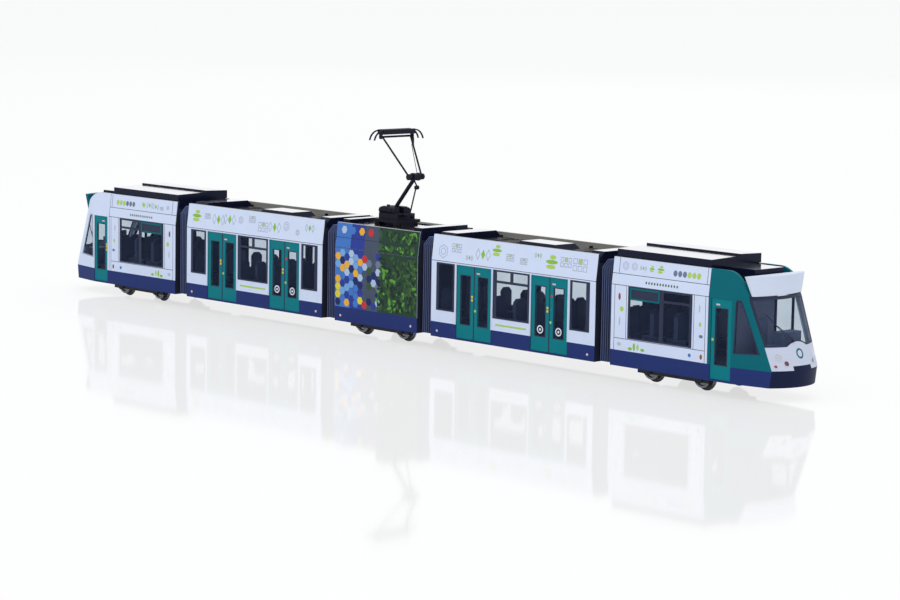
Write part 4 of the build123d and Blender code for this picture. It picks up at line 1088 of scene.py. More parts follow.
@dataclass(frozen=True)
class DoorSet:
    """A doorway with one or two leaves on the near wall."""

    start: float
    end: float
    low: float
    high: float
    leaves: int
    glass_width: float
    glass_low: float
    glass_high: float
    signs: bool = False
    extra_buttons: bool = False
    leaf_face: float = -0.2
    pane_depth: float = 0.115
    seal_gap: float = 0.02
    seal_width: float = 0.32
    seal_proud: float = 0.03
    split_half: float = 0.22
    split_inset: float = 0.1
    rim_width: float = 0.42
    rim_foot: float = 0.003
    rim_proud: float = 0.14
    mark_foot: float = 0.004
    mark_proud: float = 0.08
    lamp_span: tuple[float, float, float, float] = (1.2, 2.6, 0.7, 1.15)
    lamp_proud: float = 0.1
    single_split: float = 0.75
    sign_depth: float = 0.112
    sign_proud: float = 0.05
    sign_rise: float = 2.4
    sign_radius: float = 1.35
    sign_width: float = 0.4
    dot_radius: float = 0.42

    # Rows of x from the leaf split, z, radius and ink.
    double_marks: ClassVar[list[tuple[float, float, float, Ink]]] = [
        (-0.85, 19.1, 0.42, Ink.YELLOW), (-0.85, 18.0, 0.42, Ink.YELLOW),
        (0.62, 18.7, 0.34, Ink.BLUE), (0.62, 14.6, 0.45, Ink.LIME)]
    single_marks: ClassVar[list[tuple[float, float, float, Ink]]] = [(0.0, 16.9, 0.42, Ink.LIME)]
    button_marks: ClassVar[list[tuple[float, float, float, Ink]]] = [
        (0.0, 19.0, 0.36, Ink.YELLOW), (0.0, 18.1, 0.36, Ink.YELLOW)]
    sign_marks: ClassVar[list[tuple[float, float, float, Ink]]] = [(0.9, 23.0, 0.4, Ink.RED)]

    def leaf_spans(self) -> list[tuple[float, float]]:
        """Start and end of each leaf."""
        width = (self.end - self.start) / self.leaves
        return [(self.start + n * width, self.start + (n + 1) * width) for n in range(self.leaves)]

    def seals(self, origin: float) -> Surface:
        """Dark rubber round each leaf's glass, at the jambs and where leaves meet.

        Args:
            origin: the car's inner end.

        Returns:
            The seals.
        """
        parts = []
        half = self.glass_width / 2 - self.seal_gap
        foot, top = self.glass_low + self.seal_gap, self.glass_high - self.seal_gap
        low, high = self.leaf_face - self.pane_depth, self.leaf_face + self.seal_proud
        for start, end in self.leaf_spans():
            middle = origin + (start + end) / 2
            pane = Shape.span(middle - half, middle + half, foot, top)
            parts.append(Shape.border(pane, self.seal_width, low, high, Side.NEAR))
        for start, _ in self.leaf_spans()[1:]:
            box = (start - self.split_half, start + self.split_half,
                   self.low + self.split_inset, self.high - self.split_inset)
            low, high = self.leaf_face + FACE_GAP, self.leaf_face + 2 * self.seal_proud
            parts.append(Shape.plate(Shape.span_from(origin, box), low, high, Side.NEAR))
        return Surface.joined(parts)

    def surround(self, origin: float) -> Surface:
        """Raised white rim beside and over the doorway, down to the blue band.

        Args:
            origin: the car's inner end.

        Returns:
            The rim.
        """
        left, right, foot, top = origin + self.start, origin + self.end, BODY.band_z, self.high
        wide = self.rim_width
        corners = [(left - wide, foot), (left, foot), (left, top), (right, top), (right, foot),
                   (right + wide, foot), (right + wide, top + wide), (left - wide, top + wide)]
        return Shape.plate(np.array(corners), self.rim_foot, self.rim_proud, Side.NEAR)

    def marks(self, origin: float) -> Surface:
        """Buttons and small marks at the leaf split, with the lamp over the glass.

        Args:
            origin: the car's inner end.

        Returns:
            The marks, inked.
        """
        double = self.leaves == 2
        split = origin + (self.start + self.end) / 2 if double else origin + self.start + self.single_split
        rows = list(self.double_marks if double else self.single_marks)
        if self.extra_buttons:
            rows += self.button_marks
        if self.signs:
            rows += self.sign_marks
        foot, top = self.leaf_face + self.mark_foot, self.leaf_face + self.mark_proud
        parts = [Shape.plate(Shape.oval(split + dx, z, r, r), foot, top, Side.NEAR).inked(ink)
                 for dx, z, r, ink in rows]
        x0, x1, z0, z1 = self.lamp_span
        lamp = Shape.span(split + x0, split + x1, self.glass_high + z0, self.glass_high + z1)
        parts.append(Shape.plate(lamp, foot, self.leaf_face + self.lamp_proud, Side.NEAR).inked(Ink.PINK))
        return Surface.joined(parts)

    def glass_signs(self, origin: float) -> Surface:
        """Plain white rings with a dot, low on the door glasses.

        Args:
            origin: the car's inner end.

        Returns:
            The inked signs.
        """
        foot = self.leaf_face - self.sign_depth
        top = foot + self.sign_proud
        parts = []
        for start, end in self.leaf_spans():
            middle = origin + (start + end) / 2
            z = self.glass_low + self.sign_rise
            ring = Shape.oval(middle, z, self.sign_radius, self.sign_radius, 0, 28)
            parts.append(Shape.border(ring, self.sign_width, foot, top, Side.NEAR).inked(Ink.WHITE))
            dot = Shape.oval(middle, z, self.dot_radius, self.dot_radius)
            parts.append(Shape.plate(dot, foot, top, Side.NEAR).inked(Ink.WHITE))
        return Surface.joined(parts)


@dataclass(frozen=True)
class WallPrint:
    """Generic design of plain shapes in thin ink: pills, nested hexagons, lattices and diamonds."""

    low: float = 30.4
    high: float = 37.2
    sizes: tuple[float, float] = (1.1, 2.4)
    line: float = 0.17
    proud: float = 0.012

    def row(self, start: float, end: float, side: Side, pitch: float, seed: int) -> Surface:
        """Shapes of many sizes along a wall.

        Args:
            start: start along the tram.
            end: end along the tram.
            side: the wall.
            pitch: distance between shapes.
            seed: chooses the arrangement.

        Returns:
            The inked design.
        """
        chance = np.random.default_rng(seed)
        makers = [self.pills, self.hexagons, self.lattice, self.diamonds]
        parts = []
        for number, middle in enumerate(np.arange(start + pitch / 2, end - pitch / 3, pitch)):
            size = chance.uniform(*self.sizes)
            height = self.low + size + chance.uniform(0.0, max(0.1, self.high - self.low - 2 * size))
            parts += makers[(number + int(chance.integers(0, 2))) % 4](middle, height, size, side)
        return Surface.joined(parts)

    def pills(self, x: float, z: float, size: float, side: Side) -> list[Surface]:
        """Three level pills of different lengths in greens, with arguments as for lattice."""
        rows = ((-0.68, 0.9, Ink.LIME), (0.0, 1.15, Ink.LEAF), (0.68, 0.6, Ink.LIME))
        return [self.flat(Shape.oval(x + 0.2 * up * size, z + up * size, wide * size, 0.3 * size), side, ink)
                for up, wide, ink in rows]

    def hexagons(self, x: float, z: float, size: float, side: Side) -> list[Surface]:
        """Two nested hexagon outlines, with arguments as for lattice."""
        return [self.outlined(Shape.oval(x, z, size * scale, size * scale, 30, 6), side)
                for scale in (1.0, 0.55)]

    def lattice(self, x: float, z: float, size: float, side: Side) -> list[Surface]:
        """Squares in two rows of three, one of them filled.

        Args:
            x: middle along the tram.
            z: middle height.
            size: half-height.
            side: the wall.

        Returns:
            The inked shapes.
        """
        half = size * 0.36
        spots = [(x + column * size * 0.92, z + row * size * 0.46)
                 for column in (-1, 0, 1) for row in (-1, 1)]
        parts = [self.outlined(Shape.span(a - half, a + half, b - half, b + half), side) for a, b in spots]
        a, b = spots[3]
        inner = half - self.line - 0.04
        return parts + [self.flat(Shape.span(a - inner, a + inner, b - inner, b + inner), side, Ink.LIME)]

    def diamonds(self, x: float, z: float, size: float, side: Side) -> list[Surface]:
        """A filled diamond between two outlined ones, with arguments as for lattice."""
        parts = [self.outlined(Shape.oval(x + way * size, z, size * 0.45, size * 0.8, 0, 4), side)
                 for way in (-1, 1)]
        return parts + [self.flat(Shape.oval(x, z, size * 0.4, size * 0.7, 0, 4), side, Ink.LEAF)]

    def spots(self, table: Sequence[tuple[float, float, float, float, Ink]], origin: float,
              side: Side) -> Surface:
        """Plain ovals from rows of x from the origin, z, half-width, half-height and ink."""
        return Surface.joined(self.flat(Shape.oval(origin + x, z, half_x, half_z), side, ink)
                              for x, z, half_x, half_z, ink in table)

    def outlined(self, outline: np.ndarray, side: Side) -> Surface:
        """A thin printed outline in grey."""
        return Shape.border(outline, self.line, FACE_GAP, self.proud, side).inked(Ink.GREY)

    def flat(self, outline: np.ndarray, side: Side, ink: Ink) -> Surface:
        """A thin printed patch in one ink."""
        return Shape.plate(outline, FACE_GAP, self.proud, side).inked(ink)


def corner_reflectors(places: Iterable[float]) -> Surface:
    """Small round reflectors low on both walls.

    Args:
        places: where they are along the tram.

    Returns:
        The inked reflectors.
    """
    height, radius, proud = 6.3, 0.42, 0.1
    return Surface.joined(
        Shape.plate(Shape.oval(x, height, radius, radius), FACE_GAP, proud, side).inked(Ink.PINK)
        for x in places for side in Side)


def axle_covers(middle: float) -> Surface:
    """Round covers at the ends of a bogie's axles.

    Args:
        middle: the bogie's middle along the tram.

    Returns:
        The covers.
    """
    profile = [(1.9, 0.0), (1.9, 0.35), (1.5, 0.55), (0.6, 0.6)]
    frame_y = 11.2
    return Surface.joined(Shape.turned(profile, (middle + dx, way * frame_y, AXLE_Z), (0, way, 0), 20)
                          for dx in (-AXLE_OFFSET, AXLE_OFFSET) for way in (-1, 1))


@dataclass
class SaloonCar:
    """A hung saloon car: two double doors on the near side, windows on both."""

    body: str
    start: float
    seed: int
    length: float = 74.4
    sill: float = 13.2
    head: float = 29.1
    door_foot: float = 4.9
    reflector_inset: float = 3.0
    stripe_span: tuple[float, float, float, float] = (30.2, 44.2, 10.9, 11.5)
    lids: tuple[tuple[float, float], ...] = ((11.0, 19.0), (20.5, 28.5), (52.0, 60.0), (60.5, 67.0))
    lid_half: float = 8.2
    unit_top: float = 36.3
    lid_top: float = 36.75
    rib_half: float = 7.4
    rib_top: float = 36.95
    rib_margin: float = 0.8
    rib_width: float = 0.4
    rib_pitch: float = 1.1
    lugs: tuple[float, ...] = (9.6, 29.8, 50.7, 68.0)
    lug_y: float = 9.4
    lug_half: tuple[float, float] = (0.35, 0.5)
    lug_top: float = 37.3
    print_inset: float = 2.0
    print_pitch: float = 6.2
    fascia: WallPrint = WallPrint()

    def windows(self) -> list[Window]:
        """All windows of the car.

        Returns:
            Near windows first.
        """
        low, high = self.sill, self.head
        near = [
            Window(Side.NEAR, 2.4, 11.0, low, high, (1.2, 0.9)),
            Window(Side.NEAR, 28.9, 45.5, low, high, (1.7, 0.9), ((36.8, 38.1, 24.9, high - 0.5),),
                   ((29.4, 45.0, 24.9),)),
            Window(Side.NEAR, 63.4, 72.0, low, high, (0.9, 1.6)),
        ]
        far = [Window(Side.FAR, a, b, low, high, (0.9, 0.9))
               for a, b in ((2.4, 21.6), (24.0, 36.2), (38.2, 50.4), (52.8, 72.0))]
        return near + far

    def doors(self) -> list[DoorSet]:
        """Both doorways."""
        return [DoorSet(start, end, self.door_foot, self.head, leaves=2, glass_width=4.9, glass_low=9.5,
                        glass_high=26.0, signs=signs)
                for start, end, signs in ((11.9, 28.2, False), (46.2, 62.5, True))]

    def reflectors(self) -> Surface:
        """Small round reflectors low at the car's corners."""
        inset = self.reflector_inset
        return corner_reflectors(self.start + x for x in (inset, self.length - inset))

    def stripe(self) -> Surface:
        """Thin green stripe under the middle window."""
        return self.fascia.flat(Shape.span_from(self.start, self.stripe_span), Side.NEAR, Ink.LIME)

    def roof_fittings(self) -> Surface:
        """Raised lids, hinge bars and lifting lugs on the roof deck and its units.

        Returns:
            The fittings.
        """
        rows = []
        for low, high in self.lids:
            x0, x1 = self.start + low, self.start + high
            rows.append((x0, x1, -self.lid_half, self.lid_half, self.unit_top, self.lid_top))
            for number in range(int((high - low - 2 * self.rib_margin) / self.rib_pitch) + 1):
                rib = x0 + self.rib_margin + number * self.rib_pitch
                rows.append((rib, rib + self.rib_width, -self.rib_half, self.rib_half,
                             self.lid_top, self.rib_top))
        wide, deep = self.lug_half
        for x in self.lugs:
            x0, x1 = self.start + x - wide, self.start + x + wide
            rows += [(x0, x1, y - deep, y + deep, self.unit_top, self.lug_top)
                     for y in (-self.lug_y, self.lug_y)]
        return Shape.boxes(rows)

    def build(self) -> None:
        """Makes the car's pieces and dresses it."""
        name = self.body
        dress({"shell": Finishes.saloon, "glazing": Finishes.glass, "doors": Finishes.door,
               "seats": Finishes.seats, "roof": Finishes.roof, "floor": Finishes.metal}, f"{name}_")
        doors = self.doors()
        for label, sets, form, finish in (
                ("window_bars", self.windows(), Window.bars, Finishes.frame),
                ("door_seals", doors, DoorSet.seals, Finishes.frame),
                ("door_rims", doors, DoorSet.surround, Finishes.white),
                ("door_marks", doors, DoorSet.marks, Finishes.ink)):
            show(f"{name}_{label}", name, Surface.joined(form(item, self.start) for item in sets), finish)
        show(f"{name}_reflectors", name, self.reflectors(), Finishes.ink)
        show(f"{name}_stripe", name, self.stripe(), Finishes.ink)
        signs = Surface.joined(door.glass_signs(self.start) for door in doors if door.signs)
        show(f"{name}_door_signs", name, signs, Finishes.ink)
        show(f"{name}_roof_fittings", name, self.roof_fittings(), Finishes.louvre)
        start, end = self.start + self.print_inset, self.start + self.length - self.print_inset
        for side, seed in ((Side.NEAR, self.seed), (Side.FAR, self.seed + FAR_SEED)):
            design = self.fascia.row(start, end, side, self.print_pitch, seed)
            show(f"{name}_fascia_{side.name.lower()}", name, design, Finishes.ink)


@dataclass
class NoseForm:
    """Front surface of the cab's nose, from rows of height, tip and radius."""

    levels: tuple[tuple[float, float, float], ...] = (
        (4.3, 174.5, 17.0), (9.5, 175.0, 17.5), (16.5, 172.3, 19.0), (38.1, 163.4, 25.0))

    def point(self, across: np.ndarray, height: np.ndarray, proud: float) -> np.ndarray:
        """Points on the nose: x = tip(z) - R(z) + sqrt(R(z)^2 - y^2) + proud, tip and R even between levels.

        Args:
            across: Y of each point.
            height: Z of each point.
            proud: height over the surface, along X.

        Returns:
            Points (..., 3).
        """
        table = np.array(self.levels)
        tip = np.interp(height, table[:, 0], table[:, 1])
        radius = np.interp(height, table[:, 0], table[:, 2])
        x = tip - radius + np.sqrt(radius ** 2 - across ** 2) + proud
        return np.stack([x, across, height], axis=-1)

    def ring(self, outline: np.ndarray, width: float, low: float, high: float) -> Surface:
        """Flat bar carried round a closed outline on the nose, drawn in by its width.

        Args:
            outline: corners (N, 2) as Y and Z, anticlockwise.
            width: the bar's width.
            low: foot over the surface.
            high: top over the surface.

        Returns:
            The closed bar.
        """
        inner = Shape.inset(outline, width)
        rows = [self.point(flat[:, 0], flat[:, 1], proud)
                for flat, proud in ((outline, low), (outline, high), (inner, high), (inner, low))]
        return Shape.grid(np.stack(rows, axis=1), True, True)


@dataclass
class CabCar:
    """An end car with its cab: one door, long window, quarter lights, windscreen and nose.

    Places along the car are from its inner end. Corners of the quarter lights are rows of place and height,
    spans rows of start, end, foot and top, lamps rows of place across, height and radius.
    """

    body: str
    rear: bool
    seed: int
    start: float = 108.6
    nose: NoseForm = field(default_factory=NoseForm)
    fascia: WallPrint = WallPrint(33.9, 37.1, (0.7, 1.4), 0.14)
    print_span: tuple[float, float] = (3.4, 24.0)
    print_pitch: float = 3.6
    sill: float = 13.2
    head: float = 29.5
    hopper_span: tuple[float, float, float, float] = (7.9, 20.1, 25.4, 29.2)
    hopper_bar: float = 0.55
    hopper_proud: float = 0.16
    blind_span: tuple[float, float, float, float] = (8.4, 19.6, 25.9, 28.7)
    blind_proud: float = 0.02
    pane_seat: float = -0.113
    near_quarter: tuple[tuple[float, float], ...] = (
        (49.7, 13.4), (58.8, 13.9), (52.5, 29.1), (52.0, 29.6), (50.7, 29.6), (50.2, 29.1))
    far_quarter: tuple[tuple[float, float], ...] = (
        (44.0, 13.4), (48.9, 13.57), (58.8, 13.9), (52.5, 29.1), (52.0, 29.6), (48.9, 29.6), (44.0, 29.6))
    far_bar: tuple[float, float, float, float] = (50.4, 51.6, 13.9, 28.9)
    rim_width: float = 0.42
    rim_seat: float = -0.11
    rim_proud: float = 0.06
    bar_proud: float = 0.05
    screen_low: float = 16.4
    screen_high: float = 30.2
    screen_half_low: float = 10.7
    screen_half_high: float = 11.8
    screen_seal: float = 0.35
    seal_seat: float = -0.1
    seal_proud: float = 0.07
    arch_half: float = 4.4
    arch_rise: float = 1.3
    wiper_boss: tuple[float, float] = (-1.6, 17.9)
    boss_profile: tuple[tuple[float, float], ...] = ((0.42, -0.1), (0.42, 0.5), (0.3, 0.65))
    boss_axis: tuple[float, float, float] = (1.0, 0.0, 0.2)
    arm_run: tuple[float, float] = (-4.6, 4.6)
    arm_proud: float = 0.45
    arm_radius: float = 0.14
    blade_start: tuple[float, float] = (-3.2, 18.3)
    blade_run: tuple[float, float] = (-5.6, 7.6)
    blade_proud: float = 0.22
    blade_radius: float = 0.12
    lamps: tuple[tuple[float, float, float], ...] = ((6.0, 11.6, 0.75), (7.9, 13.5, 1.05), (9.4, 10.8, 0.45))
    ring_gap: float = 0.06
    ring_radius: float = 0.11
    badge_z: float = 14.2
    badge_radius: float = 1.5
    badge_width: float = 0.5
    badge_foot: float = 0.003
    badge_proud: float = 0.04

    def put(self, name: str, surface: Surface, finish: Finish, smooth: bool = False) -> None:
        """Shows a piece drawn for the front car on this car, under this car's name."""
        placed = surface.mirrored_x() if self.rear else surface
        show(f"{self.body}_{name}", self.body, placed, finish, smooth)

    def windows(self) -> list[Window]:
        """Upright windows of the car.

        Returns:
            The near window first.
        """
        near = Window(Side.NEAR, 7.0, 33.3, self.sill, self.head, (0.9, 1.1),
                      mullions=((20.0, 21.7, 13.5, 29.1),), transoms=((21.4, 32.8, 25.8),))
        far = [Window(Side.FAR, start, end, self.sill, self.head, (0.6, 0.6))
               for start, end in ((10.2, 22.9), (24.9, 37.6), (39.6, 42.8))]
        return [near] + far

    def door(self) -> DoorSet:
        """The one doorway, with one leaf."""
        return DoorSet(40.8, 48.9, 4.9, 29.4, leaves=1, glass_width=5.2, glass_low=9.2, glass_high=26.7,
                       extra_buttons=self.rear)

    def hopper(self) -> Surface:
        """Teal frame of the small opening light, upper inner corner of the near window."""
        outline = Shape.span_from(self.start, self.hopper_span)
        return Shape.border(outline, self.hopper_bar, self.pane_seat, self.hopper_proud, Side.NEAR)

    def hopper_blind(self) -> Surface:
        """Dark sheet behind the opening light."""
        outline = Shape.span_from(self.start, self.blind_span)
        return Shape.plate(outline, self.pane_seat, self.blind_proud, Side.NEAR)

    def quarter_rim(self, side: Side) -> Surface:
        """Rim of the quarter light on a side, with the bar of the far one.

        Args:
            side: side of the car.

        Returns:
            The rim.
        """
        corners = self.near_quarter if side is Side.NEAR else self.far_quarter
        outline = np.array([(self.start + x, z) for x, z in corners])
        rim = Shape.border(outline, self.rim_width, self.rim_seat, self.rim_proud, side)
        if side is Side.NEAR:
            return rim
        bar = Shape.span_from(self.start, self.far_bar)
        return Surface.joined([rim, Shape.plate(bar, self.rim_seat, self.bar_proud, side)])

    def screen_outline(self) -> np.ndarray:
        """Windscreen's outline with the arch at its foot.

        Returns:
            Corners (N, 2) as Y and Z, anticlockwise as seen from the front.
        """
        share = np.linspace(0.0, 1.0, 13)
        low, high = self.screen_low, self.screen_high
        wide, top_half = self.screen_half_low, self.screen_half_high
        arch_y = np.linspace(-self.arch_half, self.arch_half, 17)
        arch_z = low + self.arch_rise * (1 - (arch_y / self.arch_half) ** 2)
        foot_left = np.stack([np.linspace(-wide, -self.arch_half, 7)[:-1], np.full(6, low)], axis=-1)
        foot_right = np.stack([np.linspace(self.arch_half, wide, 7)[1:], np.full(6, low)], axis=-1)
        right = np.stack([wide + (top_half - wide) * share, low + (high - low) * share], axis=-1)[1:]
        top = np.stack([top_half * (1 - 2 * share), np.full(len(share), high)], axis=-1)[1:]
        left = np.stack([(top_half - wide) * share - top_half, high - (high - low) * share], axis=-1)[1:-1]
        return np.concatenate([foot_left, np.stack([arch_y, arch_z], axis=-1), foot_right, right, top, left])

    def wiper(self) -> Surface:
        """Wiper: an arm from its boss to the blade, and the blade along the glass.

        Returns:
            The wiper.
        """
        share = np.linspace(0.0, 1.0, 12)
        boss_y, boss_z = self.wiper_boss
        blade_y, blade_z = self.blade_start
        arm = self.nose.point(boss_y + self.arm_run[0] * share, boss_z + self.arm_run[1] * share,
                              self.arm_proud)
        blade = self.nose.point(blade_y + self.blade_run[0] * share, blade_z + self.blade_run[1] * share,
                                self.blade_proud)
        foot = self.nose.point(np.array(boss_y), np.array(boss_z), 0.0)
        boss = Shape.turned(self.boss_profile, foot, self.boss_axis, 14)
        rods = [Shape.tube(arm, self.arm_radius, 8), Shape.tube(blade, self.blade_radius, 8)]
        return Surface.joined([*rods, boss])

    def lamp_rings(self) -> Surface:
        """Pale rings round the lamps.

        Returns:
            The rings.
        """
        parts = []
        turn = np.linspace(0, 2 * np.pi, 28, endpoint=False)
        for y, z, lens in self.lamps:
            radius = lens + self.ring_gap
            for way in (-1, 1):
                across = way * y + radius * np.cos(turn)
                path = self.nose.point(across, z + radius * np.sin(turn), self.ring_gap)
                parts.append(Shape.tube(path, self.ring_radius, 8, wrap=True))
        return Surface.joined(parts)

    def badge(self) -> Surface:
        """Plain ring in the middle of the nose, under the windscreen's arch."""
        outline = Shape.oval(0.0, self.badge_z, self.badge_radius, self.badge_radius, 0, 32)
        return self.nose.ring(outline, self.badge_width, self.badge_foot, self.badge_proud)

    def small_prints(self) -> Surface:
        """Small generic shapes round the near window: a bead row over it, spots beside and under it.

        Each row gives place from the car's inner end, height, half-width, half-height and ink.

        Returns:
            The inked shapes.
        """
        row = [(14.2 + 1.15 * n, 31.2, 0.3, 0.42, Ink.OLIVE) for n in range(12)]
        title = [(25.6 + 1.9 * n, 35.2, 0.8, 0.95, Ink.STEEL if n < 3 else Ink.LIME) for n in range(6)]
        strips = [(3.4, 26.0, 0.5, 1.1, Ink.BROWN), (4.4, 22.2, 0.8, 0.8, Ink.LIME),
                  (3.6, 18.4, 0.35, 1.4, Ink.SILVER), (36.2, 25.6, 0.35, 1.2, Ink.SILVER),
                  (36.6, 20.8, 0.5, 0.7, Ink.LIME), (37.0, 17.2, 0.8, 0.5, Ink.STEEL)]
        foot = [(3.6, 11.2, 0.9, 0.6, Ink.SILVER), (8.2, 10.2, 0.9, 0.5, Ink.LEAF),
                (9.9, 10.9, 0.5, 1.2, Ink.LEAF), (11.4, 10.9, 0.5, 1.0, Ink.LIME),
                (13.4, 10.3, 0.8, 0.5, Ink.LEAF), (32.6, 11.0, 0.6, 0.6, Ink.AZURE),
                (37.2, 11.0, 0.5, 0.8, Ink.BROWN)]
        return self.fascia.spots(row + title + strips + foot, self.start, Side.NEAR)

    def build(self) -> None:
        """Makes the car's pieces and dresses it."""
        dress({"shell": Finishes.cab_rear if self.rear else Finishes.cab_front, "glazing": Finishes.glass,
               "door": Finishes.door, "lamps": Finishes.lamp,
               "destination_box": Finishes.teal if self.rear else Finishes.white, "seats": Finishes.seats,
               "desk": Finishes.desk, "roof": Finishes.roof, "chassis": Finishes.metal}, f"{self.body}_")
        door = self.door()
        seal = self.nose.ring(self.screen_outline(), self.screen_seal, self.seal_seat, self.seal_proud)
        near_rim = Finishes.pale_rim if self.rear else Finishes.frame
        self.put("window_bars", Surface.joined(w.bars(self.start) for w in self.windows()), Finishes.frame)
        self.put("hopper", self.hopper(), Finishes.teal)
        self.put("hopper_blind", self.hopper_blind(), Finishes.frame)
        self.put("quarter_rim_near", self.quarter_rim(Side.NEAR), near_rim)
        self.put("quarter_rim_far", self.quarter_rim(Side.FAR), Finishes.frame)
        self.put("screen_seal", seal, Finishes.frame)
        self.put("wiper", self.wiper(), Finishes.frame, smooth=True)
        self.put("lamp_rings", self.lamp_rings(), Finishes.white, smooth=True)
        self.put("door_seals", door.seals(self.start), Finishes.frame)
        self.put("door_marks", door.marks(self.start), Finishes.ink)
        self.put("badge", self.badge(), Finishes.teal)
        self.put("small_prints", self.small_prints(), Finishes.ink)
        self.put("axle_boxes", axle_covers(BOGIES[-1]), Finishes.metal, smooth=True)
        start, end = (self.start + x for x in self.print_span)
        for side, seed in ((Side.NEAR, self.seed), (Side.FAR, self.seed + FAR_SEED)):
            design = self.fascia.row(start, end, side, self.print_pitch, seed)
            self.put(f"fascia_{side.name.lower()}", design, Finishes.ink)


@dataclass
class CentreCar:
    """The short centre car with its printed sides and its roof.

    The design lies in three fields, so that the panel lines between them show. Leaves start at leaf_start and
    grow denser towards the end; each stands a little prouder than the last.
    """

    half: float = 20.6
    seed: int = 7
    reflector_inset: float = 3.0
    print_gap: float = 0.02
    fields: tuple[tuple[float, float], ...] = ((9.3, 29.5), (29.7, 33.03), (33.21, 38.05))
    field_chances: tuple[float, ...] = (0.68, 0.13, 0.19)
    ground_splits: tuple[float, float, float] = (-13.0, -6.0, 1.0)
    ground_proud: float = 0.006
    hexagon: float = 1.5
    hexagon_rise: float = 0.87
    column_pitch: float = 1.5
    hexagon_share: float = 0.95
    hexagon_proud: float = 0.012
    mosaic_end: float = 3.0
    mosaic_heights: tuple[float, float] = (11.0, 37.0)
    blues_end: float = -7.0
    leaf_count: int = 320
    leaf_sizes: tuple[float, float] = (0.6, 1.4)
    leaf_proud: tuple[float, float] = (0.016, 0.12)
    leaf_start: float = 2.0
    leaf_crowding: float = 1.3
    leaf_slimness: float = 0.45
    ribs: int = 21
    rib_start: float = -15.0
    rib_width: float = 0.6
    rib_pitch: float = 1.4
    rib_across: tuple[float, float] = (6.0, 9.6)
    rib_heights: tuple[float, float] = (38.0, 38.3)

    ground_inks: ClassVar[list[Ink]] = [Ink.AZURE, Ink.ROYAL, Ink.SLATE, Ink.PINE]
    blues: ClassVar[list[Ink]] = [Ink.SKY, Ink.ROYAL, Ink.AZURE, Ink.ROYAL, Ink.MIST, Ink.AZURE, Ink.YELLOW,
                                  Ink.SKY, Ink.AMBER, Ink.NAVY]
    mixed: ClassVar[list[Ink]] = [Ink.SLATE, Ink.MIST, Ink.ROYAL, Ink.SLATE, Ink.RED, Ink.STEEL, Ink.OLIVE,
                                  Ink.NAVY]
    greens: ClassVar[list[Ink]] = [Ink.OLIVE, Ink.MOSS, Ink.PINE, Ink.OLIVE, Ink.NIGHT, Ink.MOSS, Ink.NIGHT,
                                   Ink.GRASS]

    def side_print(self, side: Side) -> Surface:
        """Generic design: hexagons in blues at one end, leaf ovals over dark green at the other."""
        chance = np.random.default_rng(self.seed + (side is Side.FAR))
        return Surface.joined(self.grounds(side) + self.mosaic(side, chance) + self.leaves(side, chance))

    def grounds(self, side: Side) -> list[Surface]:
        """Plain grounds under the design, in upright stripes.

        Args:
            side: the wall.

        Returns:
            The inked grounds.
        """
        end = self.half - self.print_gap
        edges = (-end, *self.ground_splits, end)
        return [Shape.plate(Shape.span(x0, x1, low, high), FACE_GAP, self.ground_proud, side).inked(ink)
                for low, high in self.fields for x0, x1, ink in zip(edges, edges[1:], self.ground_inks)]

    def mosaic(self, side: Side, chance: np.random.Generator) -> list[Surface]:
        """Hexagons in staggered columns, where they fit whole into a field.

        Args:
            side: the wall.
            chance: draws the inks.

        Returns:
            The inked hexagons.
        """
        parts = []
        rise = self.hexagon_rise * self.hexagon
        shown = self.hexagon_share * self.hexagon
        foot, top = self.mosaic_heights
        first = self.print_gap - self.half + self.hexagon
        columns = np.arange(first, self.mosaic_end, self.column_pitch * self.hexagon)
        for column, x in enumerate(columns):
            inks = self.blues if x < self.blues_end else self.mixed
            for z in np.arange(foot + (column % 2) * rise, top, 2 * rise):
                if any(low + rise < z < high - rise for low, high in self.fields):
                    ink = inks[int(chance.integers(0, len(inks)))]
                    outline = Shape.oval(x, z, shown, shown, 0, 6)
                    parts.append(Shape.plate(outline, FACE_GAP, self.hexagon_proud, side).inked(ink))
        return parts

    def leaves(self, side: Side, chance: np.random.Generator) -> list[Surface]:
        """Leaf ovals at all turns.

        Args:
            side: the wall.
            chance: draws fields, sizes, places, turns and inks.

        Returns:
            The inked leaves.
        """
        parts = []
        end = self.half - self.print_gap
        for proud in np.linspace(*self.leaf_proud, self.leaf_count):
            low, high = self.fields[int(chance.choice(len(self.fields), p=self.field_chances))]
            size = chance.uniform(*self.leaf_sizes)
            x = end - size - (end - self.leaf_start) * chance.uniform(0.0, 1.0) ** self.leaf_crowding
            z = chance.uniform(low + size, high - size)
            outline = Shape.oval(x, z, size, size * self.leaf_slimness, chance.uniform(0, 180), 14)
            ink = self.greens[int(chance.integers(0, len(self.greens)))]
            parts.append(Shape.plate(outline, FACE_GAP, proud, side).inked(ink))
        return parts

    def roof_fittings(self) -> Surface:
        """Walkway ribs on the roof."""
        starts = [self.rib_start + self.rib_pitch * number for number in range(self.ribs)]
        return Shape.boxes([(x, x + self.rib_width, *self.rib_across, *self.rib_heights) for x in starts])

    def build(self) -> None:
        """Makes the car's pieces and dresses it."""
        dress({"shell": Finishes.centre, "roof": Finishes.roof, "chassis": Finishes.metal}, "centre_")
        for side in Side:
            show(f"centre_print_{side.name.lower()}", "centre", self.side_print(side), Finishes.ink)
        reflector_x = self.half - self.reflector_inset
        show("centre_reflectors", "centre", corner_reflectors((-reflector_x, reflector_x)), Finishes.ink)
        show("centre_roof_fittings", "centre", self.roof_fittings(), Finishes.louvre)
        show("centre_axle_boxes", "centre", axle_covers(BOGIES[1]), Finishes.metal, smooth=True)


